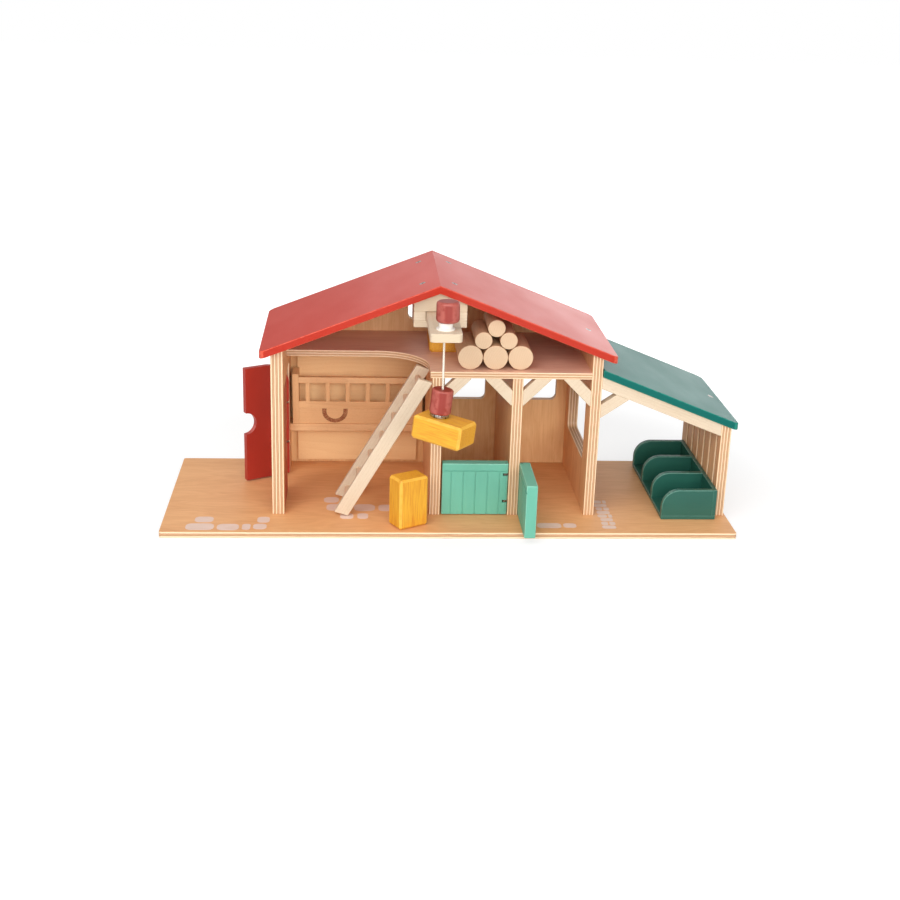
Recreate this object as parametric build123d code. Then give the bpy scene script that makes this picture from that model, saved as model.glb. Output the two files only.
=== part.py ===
from build123d import *
import math
import os

# A wooden toy barn on a base board: a gabled barn with a loft and three bays, a lean-to beside it,
# two side doors, two stall gates, a crane in the gable and loose fittings.
# Units are millimetres, +Z is up, +X runs along the front and the front faces -Y.
# The origin is the middle of the base board's underside.

# ---------------------------------------------------------------- driving dimensions
BASE_WIDTH = 560.0
BASE_DEPTH = 204.3
BASE_THICKNESS = 6.1
BASE_CORNER = 2.5

WALL_SETBACK = 45.0             # base front edge to the fronts of all walls
WALL = 10.3                     # dividers, right wall and lean-to wall
DOOR_WALL = 11.7                # left wall, which carries the side doors
BACK_WALL = 7.6
RIGHT_MARGIN = 2.7              # base edge to the outer face of the lean-to wall
LEFT_BAY = 143.1
MIDDLE_STALL = 67.6
RIGHT_STALL = 66.5
LEAN_BAY = 121.9
LEAN_WALL_MARGIN = 6.3          # lean-to wall to the base's rear edge

LOFT_HEADROOM = 141.85           # floor to the loft's underside
LOFT_THICKNESS = 6.4
LOFT_RECESS = 72.0              # wall fronts to the loft's edge over the left bay
LOFT_CURVE = 50.0
LOFT_NOSE = 2.0                 # loft edge past the left divider

ROOF_PITCH = 21.3
ROOF_THICKNESS = 7.1
EAVE_RISE = 23.06               # loft floor to the roof's upper face, over the outer walls
LEFT_EAVE_OVERHANG = 10.6
RIGHT_EAVE_OVERHANG = 13.3
ROOF_FRONT_OVERHANG = 7.3
ROOF_CORNER = 7.0

LEAN_RISE = 4.3                 # lean-to roof's upper edge over the loft floor
LEAN_EAVE = 6.7
LEAN_FRONT_OVERHANG = 2.9
LEAN_GAP = 0.4                  # lean-to roof to the right wall
BEAM_DEPTH = 12.5               # measured upright
BEAM_THICKNESS = 10.0
LEAN_BRACE_DROP = 16.2          # beam's underside to the brace, along the wall
LEAN_BRACE_DEPTH = 13.9
LEAN_BRACE_ANGLE = 35.0

BRACE_NEAR = 12.0               # stall corner to the near edge of a brace
BRACE_FAR = 28.0
BRACE_THICKNESS = 10.0

DOORWAY_INSET = 15.0            # wall front to the doorway
DOORWAY_WIDTH = 103.0
DOORWAY_HEIGHT = 123.9
DOORWAY_CORNER = 5.0
DOOR_CORNER = 26.0              # leaf's upper hinge corner, which swings under the doorway's
DOOR_THICKNESS = 6.0
DOOR_FLOOR_GAP = 1.5
DOOR_TOP_GAP = 1.0
DOOR_MEETING_GAP = 0.8
DOOR_OPEN_ANGLE = 60.0          # rear leaf, as it stands
FINGER_HOLE_RADIUS = 11.6
FINGER_HOLE_HEIGHT = 62.0       # over the leaf's lower edge

GATE_WIDTH = 65.6
GATE_HEIGHT = 53.3
GATE_THICKNESS = 10.8
GATE_FLOOR_GAP = 1.0
GATE_PIVOT_INSET = 2.7          # gate front to its hinge axis
GATE_OPEN_ANGLE = 90.0          # right gate, as it stands
GATE_BAND = 7.5
GATE_GROOVES = 5
GATE_GROOVE_PITCH = 12.0
GATE_GROOVE_WIDTH = 1.2
GATE_GROOVE_DEPTH = 0.8

HINGE_SIDE_GAP = 0.3            # leaf's rounded edge to the jamb
DOOR_PIN_DIAMETER = 1.6
GATE_PIN_DIAMETER = 2.0
PIN_HOLE_CLEARANCE = 0.02       # on the radius
EYE_CLEARANCE = 0.08            # on the radius
DOOR_PIN_PAST_EYE = 14.0        # pin's top over the upper eye
EYE_RIM = 1.2
EYE_THICKNESS = 1.8
EYE_SHANK_DIAMETER = 1.6
EYE_SHANK_DEPTH = 7.0           # shank inside the post
NOTCH_GAP = 0.5                 # eye to its notch, on every side
DOOR_EYE_LIFT = 35.0            # leaf's lower edge to its lower hinge eye
DOOR_EYE_SPREAD = 43.4
GATE_EYE_LIFT = 13.8
GATE_EYE_SPREAD = 28.2

WINDOW_WIDTH = 44.0
WINDOW_HEIGHT = 46.0
WINDOW_SILL = 73.0
WINDOW_CORNER = 6.0
GABLE_WINDOW_WIDTH = 48.0
GABLE_WINDOW_HEIGHT = 30.0
GABLE_WINDOW_SILL = 13.0        # over the loft floor
SIDE_OPENING_FRONT = 27.0       # wall front to the right wall's opening
SIDE_OPENING_REAR = 22.0
SIDE_OPENING_SILL = 50.0
SIDE_OPENING_HEIGHT = 72.0
VENT_COUNT = 6
VENT_WIDTH = 8.0
VENT_PITCH = 23.6
VENT_SHIFT = 5.0                # vents' middle in front of the wall's middle
VENT_CORNER = 3.0
VENT_SILL = 24.0
VENT_TOP_MARGIN = 12.0          # vent to the lean-to roof

CRANE_OFFSET = 0.9              # crane's middle past the ridge
CRANE_WIDTH = 50.6
CRANE_DEPTH = 40.0
CRANE_BLOCK_DROP = 18.8         # ridge underside to the block's lower face
ARM_WIDTH = 29.2
ARM_OFFSET = 1.0                # arm's middle past the crane's
ARM_THICKNESS = 8.1
ARM_REACH = 80.0                # arm's front past the wall fronts
ARM_LENGTH = 145.0
ARM_CORNER = 4.0
ARM_CLEARANCE = 0.35
CRANE_BOARD = 6.5
CRANE_BORE = 4.6
BORE_FROM_TIP = 17.0
BUSHING_FLANGE_RADIUS = 8.5
BUSHING_FLANGE = 1.6
BUSHING_RADIUS = 6.5
BUSHING_HEIGHT = 6.7
KNOB_RADIUS = 10.7
KNOB_HEIGHT = 19.3
KNOB_EDGE = 3.0
KNOB_OFFSET = 2.75              # knob's middle past the cord's
CORD_DIAMETER = 2.0
CORD_DROP = 65.1                # knob to the weight
WEIGHT_RADIUS = 10.1
WEIGHT_HEIGHT = 21.3
MAGNET_RADIUS = 9.0
MAGNET_HEIGHT = 3.0
LOAD_TILT = 6.0
LOAD_TURN = 33.0
LOAD_SHIFT = 6.5                # bale's middle past the magnet's
STRIKE_RADIUS = 6.0
STRIKE_HEIGHT = 1.2
REST_GAP = 0.25                 # between pieces that lie against each other

BALE_LENGTH = 51.0
BALE_WIDTH = 32.2
BALE_HEIGHT = 22.5
BALE_CHAMFER = 2.2
FLOOR_BALE_TURN = 30.0
FLOOR_BALE_OFFSET = 21.8        # left divider to the bale's middle
FLOOR_BALE_FROM_FRONT = 20.8
LOFT_BALE_OFFSET = 16.0         # left divider's left face to the bale's middle
LOFT_BALE_RECESS = 67.0         # wall fronts to the bale

LOG_RADIUS = 12.0
SMALL_LOG_RADIUS = 8.4
LOG_LENGTH = 50.0
LOG_GAP = 0.4
LOG_RECESS = 8.0                # loft's front edge to the logs
LOG_OFFSET = 36.5               # left divider's left face to the first log's middle

LADDER_HEEL = 80.4              # left divider to the ladder's heel
LADDER_RISE = 137.6
LADDER_END_SLOPE = 17.0
RAIL_WIDTH = 13.3               # measured level
RAIL_THICKNESS = 6.0
LADDER_WIDTH = 52.5
LADDER_FRONT = -4.0             # wall fronts to the ladder's front
RUNG_COUNT = 7
RUNG_RADIUS = 2.6
RUNG_TENON = 3.0

RACK_LENGTH = 137.0
RACK_DEPTH = 31.75
RACK_TOP = 105.2                # top rail over the floor
RACK_BASE = 51.5
RACK_LEAN = 9.0
RACK_CHEEK = 6.5
RACK_CHEEK_RISE = 3.1           # cheeks over the top rail
RACK_RAIL_HEIGHT = 6.5
RACK_RAIL_DEPTH = 6.0
RACK_SLAT_COUNT = 6
RACK_SLAT_WIDTH = 4.4
RACK_SLAT_PITCH = 21.05
RACK_SLAT_LENGTH = 21.3
RACK_LOWER_RAIL = 7.7
RACK_BOARD_THICKNESS = 3.0
LEDGE_THICKNESS = 8.0
LEDGE_DEPTH = 25.0
RACK_BACK_LENGTH = 128.5
RACK_BACK_THICKNESS = 5.0
RACK_BACK_GAP = 4.0             # back board to the floor
RACK_BACK_TOP_GAP = 2.0         # back board to the loft

PEN_FRONT = -10.5               # wall fronts to the feed pen's front
PEN_REAR_MARGIN = 17.0          # pen to the base's rear edge
PEN_WIDTH = 55.0
PEN_HEIGHT = 31.2
PEN_DIVIDERS = 4
PEN_DIVIDER = 6.0
PEN_BACK = 4.0
PEN_FLOOR = 4.0
PEN_CORNER = 18.0
PEN_WALL_GAP = 0.6

SCREW_HEAD_RADIUS = 3.2
SCREW_HEAD_HEIGHT = 2.2
SCREW_RADIUS = 1.4
SCREW_LENGTH = 16.0
SCREW_RECESS_RADIUS = 0.9
SCREW_RECESS_DEPTH = 1.2
RIDGE_SCREW_OFFSET = 15.5
RIDGE_SCREW_INSET = 0.2          # share of the ridge beam's length

EASE = 0.6                      # rounding of sawn edges
PAINTED_EASE = 1.0

# ---------------------------------------------------------------- places that follow from them
FLOOR = BASE_THICKNESS
BASE_FRONT = -BASE_DEPTH / 2
BASE_REAR = BASE_DEPTH / 2
FRONT = BASE_FRONT + WALL_SETBACK
REAR = BASE_REAR - BACK_WALL

LEAN_WALL_OUT = BASE_WIDTH / 2 - RIGHT_MARGIN
LEAN_WALL_IN = LEAN_WALL_OUT - WALL
LEAN_REAR = BASE_REAR - LEAN_WALL_MARGIN
RIGHT_OUT = LEAN_WALL_IN - LEAN_BAY
RIGHT_IN = RIGHT_OUT - WALL
MIDDLE_RIGHT = RIGHT_IN - RIGHT_STALL
MIDDLE_LEFT = MIDDLE_RIGHT - WALL
DIVIDER_RIGHT = MIDDLE_LEFT - MIDDLE_STALL
DIVIDER_LEFT = DIVIDER_RIGHT - WALL
LEFT_IN = DIVIDER_LEFT - LEFT_BAY
LEFT_OUT = LEFT_IN - DOOR_WALL

LOFT_UNDER = FLOOR + LOFT_HEADROOM
LOFT_TOP = LOFT_UNDER + LOFT_THICKNESS
PITCH = math.radians(ROOF_PITCH)
ROOF_DROP = ROOF_THICKNESS / math.cos(PITCH)
RIDGE_X = (LEFT_OUT + RIGHT_OUT) / 2
RIDGE_TOP = LOFT_TOP + EAVE_RISE + (RIGHT_OUT - RIDGE_X) * math.tan(PITCH)
RIDGE_UNDER = RIDGE_TOP - ROOF_DROP
LEAN_TOP = LOFT_TOP + LEAN_RISE


def roof_under(x):
    """Height of the barn roof's underside over a place along the front."""
    return RIDGE_UNDER - abs(x - RIDGE_X) * math.tan(PITCH)


def lean_under(x):
    """Height of the lean-to roof's underside."""
    return LEAN_TOP - ROOF_DROP - (x - RIGHT_OUT) * math.tan(PITCH)


# ---------------------------------------------------------------- shared shapes
def block(low, high):
    """A box between two corners."""
    size = [b - a for a, b in zip(low, high)]
    middle = [(a + b) / 2 for a, b in zip(low, high)]
    return Pos(*middle) * Box(*size)


def prism(points, direction):
    """A solid drawn from a flat closed outline along a direction."""
    return Solid.extrude(Face(Wire.make_polygon([Vector(*p) for p in points])), Vector(*direction))


def along_y(outline, start, end):
    """An outline of (x, z) points carried from one depth to another."""
    return prism([(x, start, z) for x, z in outline], (0, end - start, 0))


def along_x(outline, start, end):
    """An outline of (y, z) points carried along the front."""
    return prism([(start, y, z) for y, z in outline], (end - start, 0, 0))


def eased(solid, radius=EASE):
    """The solid with every edge rounded."""
    return solid.fillet(radius, solid.edges())


def upright_cylinder(x, y, bottom, top, radius):
    """A cylinder standing between two heights."""
    return Pos(x, y, (bottom + top) / 2) * Cylinder(radius, top - bottom)


def window_cut(low, high, axis, corner):
    """A cutter whose edges along one axis are rounded."""
    cutter = block(low, high)
    return cutter.fillet(corner, cutter.edges().filter_by(axis))


def save(name, shape):
    """Write one named piece."""
    export_step(shape, f"parts/{name}.step")


# ---------------------------------------------------------------- base, walls and loft
def base_board():
    """The board that everything stands on."""
    board = block((-BASE_WIDTH / 2, BASE_FRONT, 0), (BASE_WIDTH / 2, BASE_REAR, BASE_THICKNESS))
    board = board.fillet(BASE_CORNER, board.edges().filter_by(Axis.Z))
    top = board.faces().sort_by(Axis.Z)[-1]
    return board.fillet(EASE, top.edges())


def door_y(leaf):
    """Depth of a side door's hinge axis: the front leaf or the rear one."""
    inset = HINGE_SIDE_GAP + DOOR_THICKNESS / 2
    if leaf == "front":
        return FRONT + DOORWAY_INSET + inset
    return FRONT + DOORWAY_INSET + DOORWAY_WIDTH - inset


DOOR_BOTTOM = FLOOR + DOOR_FLOOR_GAP
DOOR_TOP = FLOOR + DOORWAY_HEIGHT - DOOR_TOP_GAP
DOOR_AXIS_X = LEFT_IN - DOOR_THICKNESS / 2
DOOR_EYES = [DOOR_BOTTOM + DOOR_EYE_LIFT, DOOR_BOTTOM + DOOR_EYE_LIFT + DOOR_EYE_SPREAD]
GATE_BOTTOM = FLOOR + GATE_FLOOR_GAP
GATE_TOP = GATE_BOTTOM + GATE_HEIGHT
GATE_EYES = [GATE_BOTTOM + GATE_EYE_LIFT, GATE_BOTTOM + GATE_EYE_LIFT + GATE_EYE_SPREAD]
GATE_AXIS_Y = FRONT + GATE_PIVOT_INSET
LEFT_GATE_AXIS_X = MIDDLE_LEFT - HINGE_SIDE_GAP - GATE_PIVOT_INSET
RIGHT_GATE_AXIS_X = MIDDLE_RIGHT + HINGE_SIDE_GAP + GATE_PIVOT_INSET


def shank_hole(x, y, z, direction):
    """The hole that a hinge eye's shank fills, from a post's face inwards."""
    turn = {"+x": (0, 90, 0), "-x": (0, -90, 0), "+y": (-90, 0, 0), "-y": (90, 0, 0)}[direction]
    hole = Cylinder(EYE_SHANK_DIAMETER / 2, EYE_SHANK_DEPTH, align=(Align.CENTER, Align.CENTER, Align.MIN))
    return Pos(x, y, z) * Rot(*turn) * hole


def left_wall():
    """The wall with the doorway, cut to the roof's slope."""
    outline = [(LEFT_OUT, FLOOR), (LEFT_IN, FLOOR), (LEFT_IN, roof_under(LEFT_IN)),
               (LEFT_OUT, roof_under(LEFT_OUT))]
    wall = eased(along_y(outline, FRONT, REAR))
    doorway_front = FRONT + DOORWAY_INSET
    doorway_rear = doorway_front + DOORWAY_WIDTH
    doorway = block((LEFT_OUT - 1, doorway_front, FLOOR - DOORWAY_CORNER * 2),
                    (LEFT_IN + 1, doorway_rear, FLOOR + DOORWAY_HEIGHT))
    corners = [e for e in doorway.edges().filter_by(Axis.X) if e.center().Z > LOFT_UNDER / 2]
    wall = wall - doorway.fillet(DOORWAY_CORNER, corners)
    for height in DOOR_EYES:
        wall -= shank_hole(DOOR_AXIS_X, doorway_front, height, "-y")
        wall -= shank_hole(DOOR_AXIS_X, doorway_rear, height, "+y")
    return wall


def divider(left, right):
    """A stall divider from the floor to the loft."""
    return eased(block((left, FRONT, FLOOR), (right, REAR, LOFT_UNDER)))


def middle_divider():
    """The divider between the stalls, which carries both gates."""
    post = divider(MIDDLE_LEFT, MIDDLE_RIGHT)
    for height in GATE_EYES:
        post -= shank_hole(MIDDLE_LEFT, GATE_AXIS_Y, height, "+x")
        post -= shank_hole(MIDDLE_RIGHT, GATE_AXIS_Y, height, "-x")
    return post


def right_wall():
    """The wall between the barn and the lean-to, with its large opening."""
    outline = [(RIGHT_IN, FLOOR), (RIGHT_OUT, FLOOR), (RIGHT_OUT, roof_under(RIGHT_OUT)),
               (RIGHT_IN, roof_under(RIGHT_IN))]
    sill = FLOOR + SIDE_OPENING_SILL
    opening = window_cut((RIGHT_IN - 1, FRONT + SIDE_OPENING_FRONT, sill),
                         (RIGHT_OUT + 1, REAR - SIDE_OPENING_REAR, sill + SIDE_OPENING_HEIGHT),
                         Axis.X, WINDOW_CORNER)
    return eased(along_y(outline, FRONT, REAR)) - opening - right_wall_screw(hole=True)


def window_low_high(middle, width, sill, height):
    """Corners of a cutter through the back wall."""
    return (middle - width / 2, REAR - 1, sill), (middle + width / 2, BASE_REAR + 1, sill + height)


def back_wall():
    """The gabled back wall with two stall windows and one in the gable."""
    outline = [(LEFT_OUT, FLOOR), (RIGHT_OUT, FLOOR), (RIGHT_OUT, roof_under(RIGHT_OUT)),
               (RIDGE_X, RIDGE_UNDER), (LEFT_OUT, roof_under(LEFT_OUT))]
    wall = eased(along_y(outline, REAR, BASE_REAR))
    for left, right in ((DIVIDER_RIGHT, MIDDLE_LEFT), (MIDDLE_RIGHT, RIGHT_IN)):
        low, high = window_low_high((left + right) / 2, WINDOW_WIDTH, FLOOR + WINDOW_SILL, WINDOW_HEIGHT)
        wall -= window_cut(low, high, Axis.Y, WINDOW_CORNER)
    low, high = window_low_high(RIDGE_X, GABLE_WINDOW_WIDTH, LOFT_TOP + GABLE_WINDOW_SILL,
                                GABLE_WINDOW_HEIGHT)
    return wall - window_cut(low, high, Axis.Y, WINDOW_CORNER)


def loft_floor():
    """The loft: full depth over the stalls, cut back in a curve over the left bay."""
    nose = DIVIDER_LEFT - LOFT_NOSE
    recess = FRONT + LOFT_RECESS
    outline = [(LEFT_IN, recess), (nose, recess), (nose, FRONT), (RIGHT_IN, FRONT),
               (RIGHT_IN, REAR), (LEFT_IN, REAR)]
    floor = prism([(x, y, LOFT_UNDER) for x, y in outline], (0, 0, LOFT_THICKNESS))
    corner = [e for e in floor.edges().filter_by(Axis.Z)
              if abs(e.center().X - nose) < 1 and abs(e.center().Y - recess) < 1]
    floor = floor.fillet(LOFT_CURVE, corner)
    front_edges = [e for e in floor.edges() if e.center().Y < recess + 1
                   and abs(e.center().Z - LOFT_UNDER - LOFT_THICKNESS / 2) > 1
                   and LEFT_IN + 1 < e.center().X < RIGHT_IN - 1]
    return floor.fillet(EASE, front_edges)


def stall_brace(corner_x, side):
    """A diagonal brace under the loft, in one upper corner of a stall."""
    outline = [(corner_x, LOFT_UNDER - BRACE_NEAR), (corner_x, LOFT_UNDER - BRACE_FAR),
               (corner_x + side * BRACE_FAR, LOFT_UNDER), (corner_x + side * BRACE_NEAR, LOFT_UNDER)]
    return eased(along_y(outline, FRONT, FRONT + BRACE_THICKNESS))


# ---------------------------------------------------------------- roofs and their screws
def roof_panel(top_x, top_z, end_x, front, rear, square_top):
    """A sloping panel from its upper edge down to its eave, both cut upright.

    The eave's corners are rounded.
    """
    end_z = top_z - abs(end_x - top_x) * math.tan(PITCH)
    outline = [(top_x, top_z), (end_x, end_z), (end_x, end_z - ROOF_DROP), (top_x, top_z - ROOF_DROP)]
    panel = along_y(outline, front, rear)
    eave = [e for e in panel.edges().filter_by(Axis.Z) if abs(e.center().X - end_x) < 1]
    panel = panel.fillet(ROOF_CORNER, eave)
    soft = [e for e in panel.edges() if square_top or abs(e.center().X - top_x) > 0.5]
    return panel.fillet(PAINTED_EASE, soft)


def screw_seat(x, y, top_x, top_z, side):
    """Where a screw's head lies flush with a sloping panel, with its axis square to the panel."""
    z = top_z - abs(x - top_x) * math.tan(PITCH)
    return Pos(x, y, z) * Rot(0, side * ROOF_PITCH, 0)


def screw(hole):
    """A countersunk screw, or the hole that it fills."""
    head = Pos(0, 0, -SCREW_HEAD_HEIGHT) * Cone(SCREW_RADIUS, SCREW_HEAD_RADIUS, SCREW_HEAD_HEIGHT,
                                                align=(Align.CENTER, Align.CENTER, Align.MIN))
    shank = Pos(0, 0, -SCREW_LENGTH) * Cylinder(SCREW_RADIUS, SCREW_LENGTH - SCREW_HEAD_HEIGHT,
                                                align=(Align.CENTER, Align.CENTER, Align.MIN))
    whole = head + shank
    if hole:
        return whole
    recess = Pos(0, 0, -SCREW_RECESS_DEPTH) * Box(SCREW_RECESS_RADIUS * 2, SCREW_RECESS_RADIUS * 2,
                                                  SCREW_RECESS_DEPTH * 2,
                                                  align=(Align.CENTER, Align.CENTER, Align.MIN))
    return whole - recess


def ridge_screws(side, hole=False):
    """The two screws through one roof panel into the ridge beam."""
    x = RIDGE_X + side * RIDGE_SCREW_OFFSET
    inset = (REAR - FRONT) * RIDGE_SCREW_INSET
    places = (FRONT + inset, REAR - inset * 0.8)
    return [screw_seat(x, y, RIDGE_X, RIDGE_TOP, side) * screw(hole) for y in places]


def right_wall_screw(hole=False):
    """The screw through the right roof panel into the right wall."""
    seat = screw_seat(RIGHT_IN + WALL * 0.55, (FRONT + REAR) / 2 - 5, RIDGE_X, RIDGE_TOP, 1)
    return seat * screw(hole)


def lean_wall_screw(hole=False):
    """The screw through the lean-to roof into the lean-to wall."""
    seat = screw_seat(LEAN_WALL_IN + WALL * 0.62, (FRONT + REAR) / 2, RIGHT_OUT, LEAN_TOP, 1)
    return seat * screw(hole)


def red_roof(side):
    """One slope of the barn roof, mitred at the ridge."""
    end_x = RIGHT_OUT + RIGHT_EAVE_OVERHANG if side > 0 else LEFT_OUT - LEFT_EAVE_OVERHANG
    panel = roof_panel(RIDGE_X, RIDGE_TOP, end_x, FRONT - ROOF_FRONT_OVERHANG, BASE_REAR, False)
    for cutter in ridge_screws(side, hole=True):
        panel -= cutter
    return panel - right_wall_screw(hole=True) if side > 0 else panel


def lean_to_roof():
    """The lower roof from the right wall out over the lean-to wall."""
    top_x = RIGHT_OUT + LEAN_GAP
    top_z = LEAN_TOP - LEAN_GAP * math.tan(PITCH)
    panel = roof_panel(top_x, top_z, LEAN_WALL_OUT + LEAN_EAVE, FRONT - LEAN_FRONT_OVERHANG, BASE_REAR, True)
    return panel - lean_wall_screw(hole=True)


# ---------------------------------------------------------------- lean-to
def lean_to_wall():
    """The outer wall of the lean-to, with upright vents."""
    outline = [(LEAN_WALL_IN, FLOOR), (LEAN_WALL_OUT, FLOOR), (LEAN_WALL_OUT, lean_under(LEAN_WALL_OUT)),
               (LEAN_WALL_IN, lean_under(LEAN_WALL_IN))]
    wall = eased(along_y(outline, FRONT, LEAN_REAR))
    middle = (FRONT + LEAN_REAR) / 2 - VENT_SHIFT
    vent_top = lean_under(LEAN_WALL_OUT) - VENT_TOP_MARGIN
    for index in range(VENT_COUNT):
        y = middle + (index - (VENT_COUNT - 1) / 2) * VENT_PITCH
        wall -= window_cut((LEAN_WALL_IN - 1, y - VENT_WIDTH / 2, FLOOR + VENT_SILL),
                           (LEAN_WALL_OUT + 1, y + VENT_WIDTH / 2, vent_top), Axis.X, VENT_CORNER)
    return wall - lean_wall_screw(hole=True)


def lean_to_beam():
    """The beam under the lean-to roof's front."""
    outline = [(RIGHT_OUT, lean_under(RIGHT_OUT)), (LEAN_WALL_IN, lean_under(LEAN_WALL_IN)),
               (LEAN_WALL_IN, lean_under(LEAN_WALL_IN) - BEAM_DEPTH),
               (RIGHT_OUT, lean_under(RIGHT_OUT) - BEAM_DEPTH)]
    return eased(along_y(outline, FRONT, FRONT + BEAM_THICKNESS))


def lean_to_brace():
    """The brace between the right wall and the lean-to beam."""
    rise = math.tan(math.radians(LEAN_BRACE_ANGLE))
    fall = math.tan(PITCH)
    under = lean_under(RIGHT_OUT) - BEAM_DEPTH
    outline = []
    for drop in (LEAN_BRACE_DROP, LEAN_BRACE_DROP + LEAN_BRACE_DEPTH):
        reach = drop / (rise + fall)
        outline += [(RIGHT_OUT, under - drop), (RIGHT_OUT + reach, under - reach * fall)]
    outline = [outline[0], outline[2], outline[3], outline[1]]
    return eased(along_y(outline, FRONT, FRONT + BEAM_THICKNESS))


# ---------------------------------------------------------------- hinges, doors and gates
def hinge_eye(pin_diameter, reach):
    """A screw eye around an upright pin, with its shank along -X past the reach."""
    bore = pin_diameter / 2 + EYE_CLEARANCE
    outer = bore + EYE_RIM
    shank = Rot(0, -90, 0) * Cylinder(EYE_SHANK_DIAMETER / 2, reach + EYE_SHANK_DEPTH,
                                      align=(Align.CENTER, Align.CENTER, Align.MIN))
    return Cylinder(outer, EYE_THICKNESS) + shank - Cylinder(bore, EYE_THICKNESS * 2)


def door_hinge_eyes():
    """Four eyes in the doorway's jambs."""
    reach = HINGE_SIDE_GAP + DOOR_THICKNESS / 2
    eyes = []
    for leaf, turn in (("front", 90), ("rear", -90)):
        for height in DOOR_EYES:
            place = Pos(DOOR_AXIS_X, door_y(leaf), height) * Rot(0, 0, turn)
            eyes.append(place * hinge_eye(DOOR_PIN_DIAMETER, reach))
    return Compound(children=eyes)


def gate_hinge_eyes():
    """Four eyes in the middle divider, two for each gate."""
    reach = HINGE_SIDE_GAP + GATE_PIVOT_INSET
    eyes = []
    for x, turn in ((LEFT_GATE_AXIS_X, 180), (RIGHT_GATE_AXIS_X, 0)):
        for height in GATE_EYES:
            eyes.append(Pos(x, GATE_AXIS_Y, height) * Rot(0, 0, turn) * hinge_eye(GATE_PIN_DIAMETER, reach))
    return Compound(children=eyes)


def door_leaf():
    """A side door leaf on its own axis, closed along +Y, with its inner face towards +X."""
    half = DOOR_THICKNESS / 2
    width = DOORWAY_WIDTH / 2 - HINGE_SIDE_GAP - half - DOOR_MEETING_GAP / 2
    leaf = block((-half, -half, DOOR_BOTTOM), (half, width, DOOR_TOP))
    top_corner = [e for e in leaf.edges().filter_by(Axis.X)
                  if e.center().Z > DOOR_TOP - 1 and e.center().Y < 0]
    leaf = leaf.fillet(DOOR_CORNER, top_corner)
    edge = block((-half, -half, DOOR_BOTTOM), (half, half, DOOR_TOP + 1))
    barrel = upright_cylinder(0, 0, DOOR_BOTTOM - 1, DOOR_TOP + 1, half)
    leaf = leaf - (edge - barrel - block((-half, 0, DOOR_BOTTOM), (half, half + 1, DOOR_TOP + 1)))
    hole = Pos(0, width, DOOR_BOTTOM + FINGER_HOLE_HEIGHT) * Rot(0, 90, 0) * Cylinder(
        FINGER_HOLE_RADIUS, DOOR_THICKNESS * 2)
    leaf -= hole
    notch = DOOR_PIN_DIAMETER / 2 + EYE_CLEARANCE + EYE_RIM + NOTCH_GAP
    for height in DOOR_EYES:
        leaf -= block((-half - 1, -half - 1, height - EYE_THICKNESS / 2 - NOTCH_GAP),
                      (half + 1, notch, height + EYE_THICKNESS / 2 + NOTCH_GAP))
    return leaf - upright_cylinder(0, 0, DOOR_BOTTOM, DOOR_PIN_TOP,
                                   DOOR_PIN_DIAMETER / 2 + PIN_HOLE_CLEARANCE)


DOOR_PIN_TOP = DOOR_EYES[1] + DOOR_PIN_PAST_EYE
GATE_PIN_TOP = GATE_TOP


def place_door(leaf, shape):
    """Put a leaf or its pin in the doorway, as the doors stand at rest."""
    if leaf == "front":
        return Pos(DOOR_AXIS_X, door_y(leaf), 0) * shape
    mirrored = shape.mirror(Plane.XZ)
    return Pos(DOOR_AXIS_X, door_y(leaf), 0) * Rot(0, 0, -DOOR_OPEN_ANGLE) * mirrored


def gate():
    """A stall gate on its own axis, closed along +X, with its planked face towards -Y."""
    inset = GATE_PIVOT_INSET
    free = GATE_WIDTH - inset
    rear = GATE_THICKNESS - inset
    leaf = block((-inset, -inset, GATE_BOTTOM), (free, rear, GATE_TOP))
    pivot_edge = [e for e in leaf.edges().filter_by(Axis.Z) if e.center().X < 0 and e.center().Y < 0]
    leaf = leaf.fillet(inset - 0.01, pivot_edge)
    soft = [e for e in leaf.edges() if e.center().X > -inset + 3 and e.center().Z > GATE_BOTTOM + 1]
    leaf = leaf.fillet(PAINTED_EASE, soft)
    half = GATE_GROOVE_WIDTH / 2
    band = GATE_TOP - GATE_BAND
    for index in range(GATE_GROOVES):
        x = GATE_WIDTH / 2 - inset + (index - (GATE_GROOVES - 1) / 2) * GATE_GROOVE_PITCH
        leaf -= block((x - half, -inset - 1, GATE_BOTTOM - 1), (x + half, -inset + GATE_GROOVE_DEPTH, band))
    leaf -= block((-inset - 1, -inset - 1, band - half), (free + 1, -inset + GATE_GROOVE_DEPTH, band + half))
    notch = GATE_PIN_DIAMETER / 2 + EYE_CLEARANCE + EYE_RIM + NOTCH_GAP
    for height in GATE_EYES:
        leaf -= block((-inset - 1, -inset - 1, height - EYE_THICKNESS / 2 - NOTCH_GAP),
                      (notch, notch, height + EYE_THICKNESS / 2 + NOTCH_GAP))
    return leaf - upright_cylinder(0, 0, GATE_BOTTOM, GATE_PIN_TOP,
                                   GATE_PIN_DIAMETER / 2 + PIN_HOLE_CLEARANCE)


def place_gate(side, shape):
    """Put a gate or its pin at the middle divider, as the gates stand at rest."""
    if side == "left":
        return Pos(LEFT_GATE_AXIS_X, GATE_AXIS_Y, 0) * shape.mirror(Plane.YZ)
    return Pos(RIGHT_GATE_AXIS_X, GATE_AXIS_Y, 0) * Rot(0, 0, -GATE_OPEN_ANGLE) * shape


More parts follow.
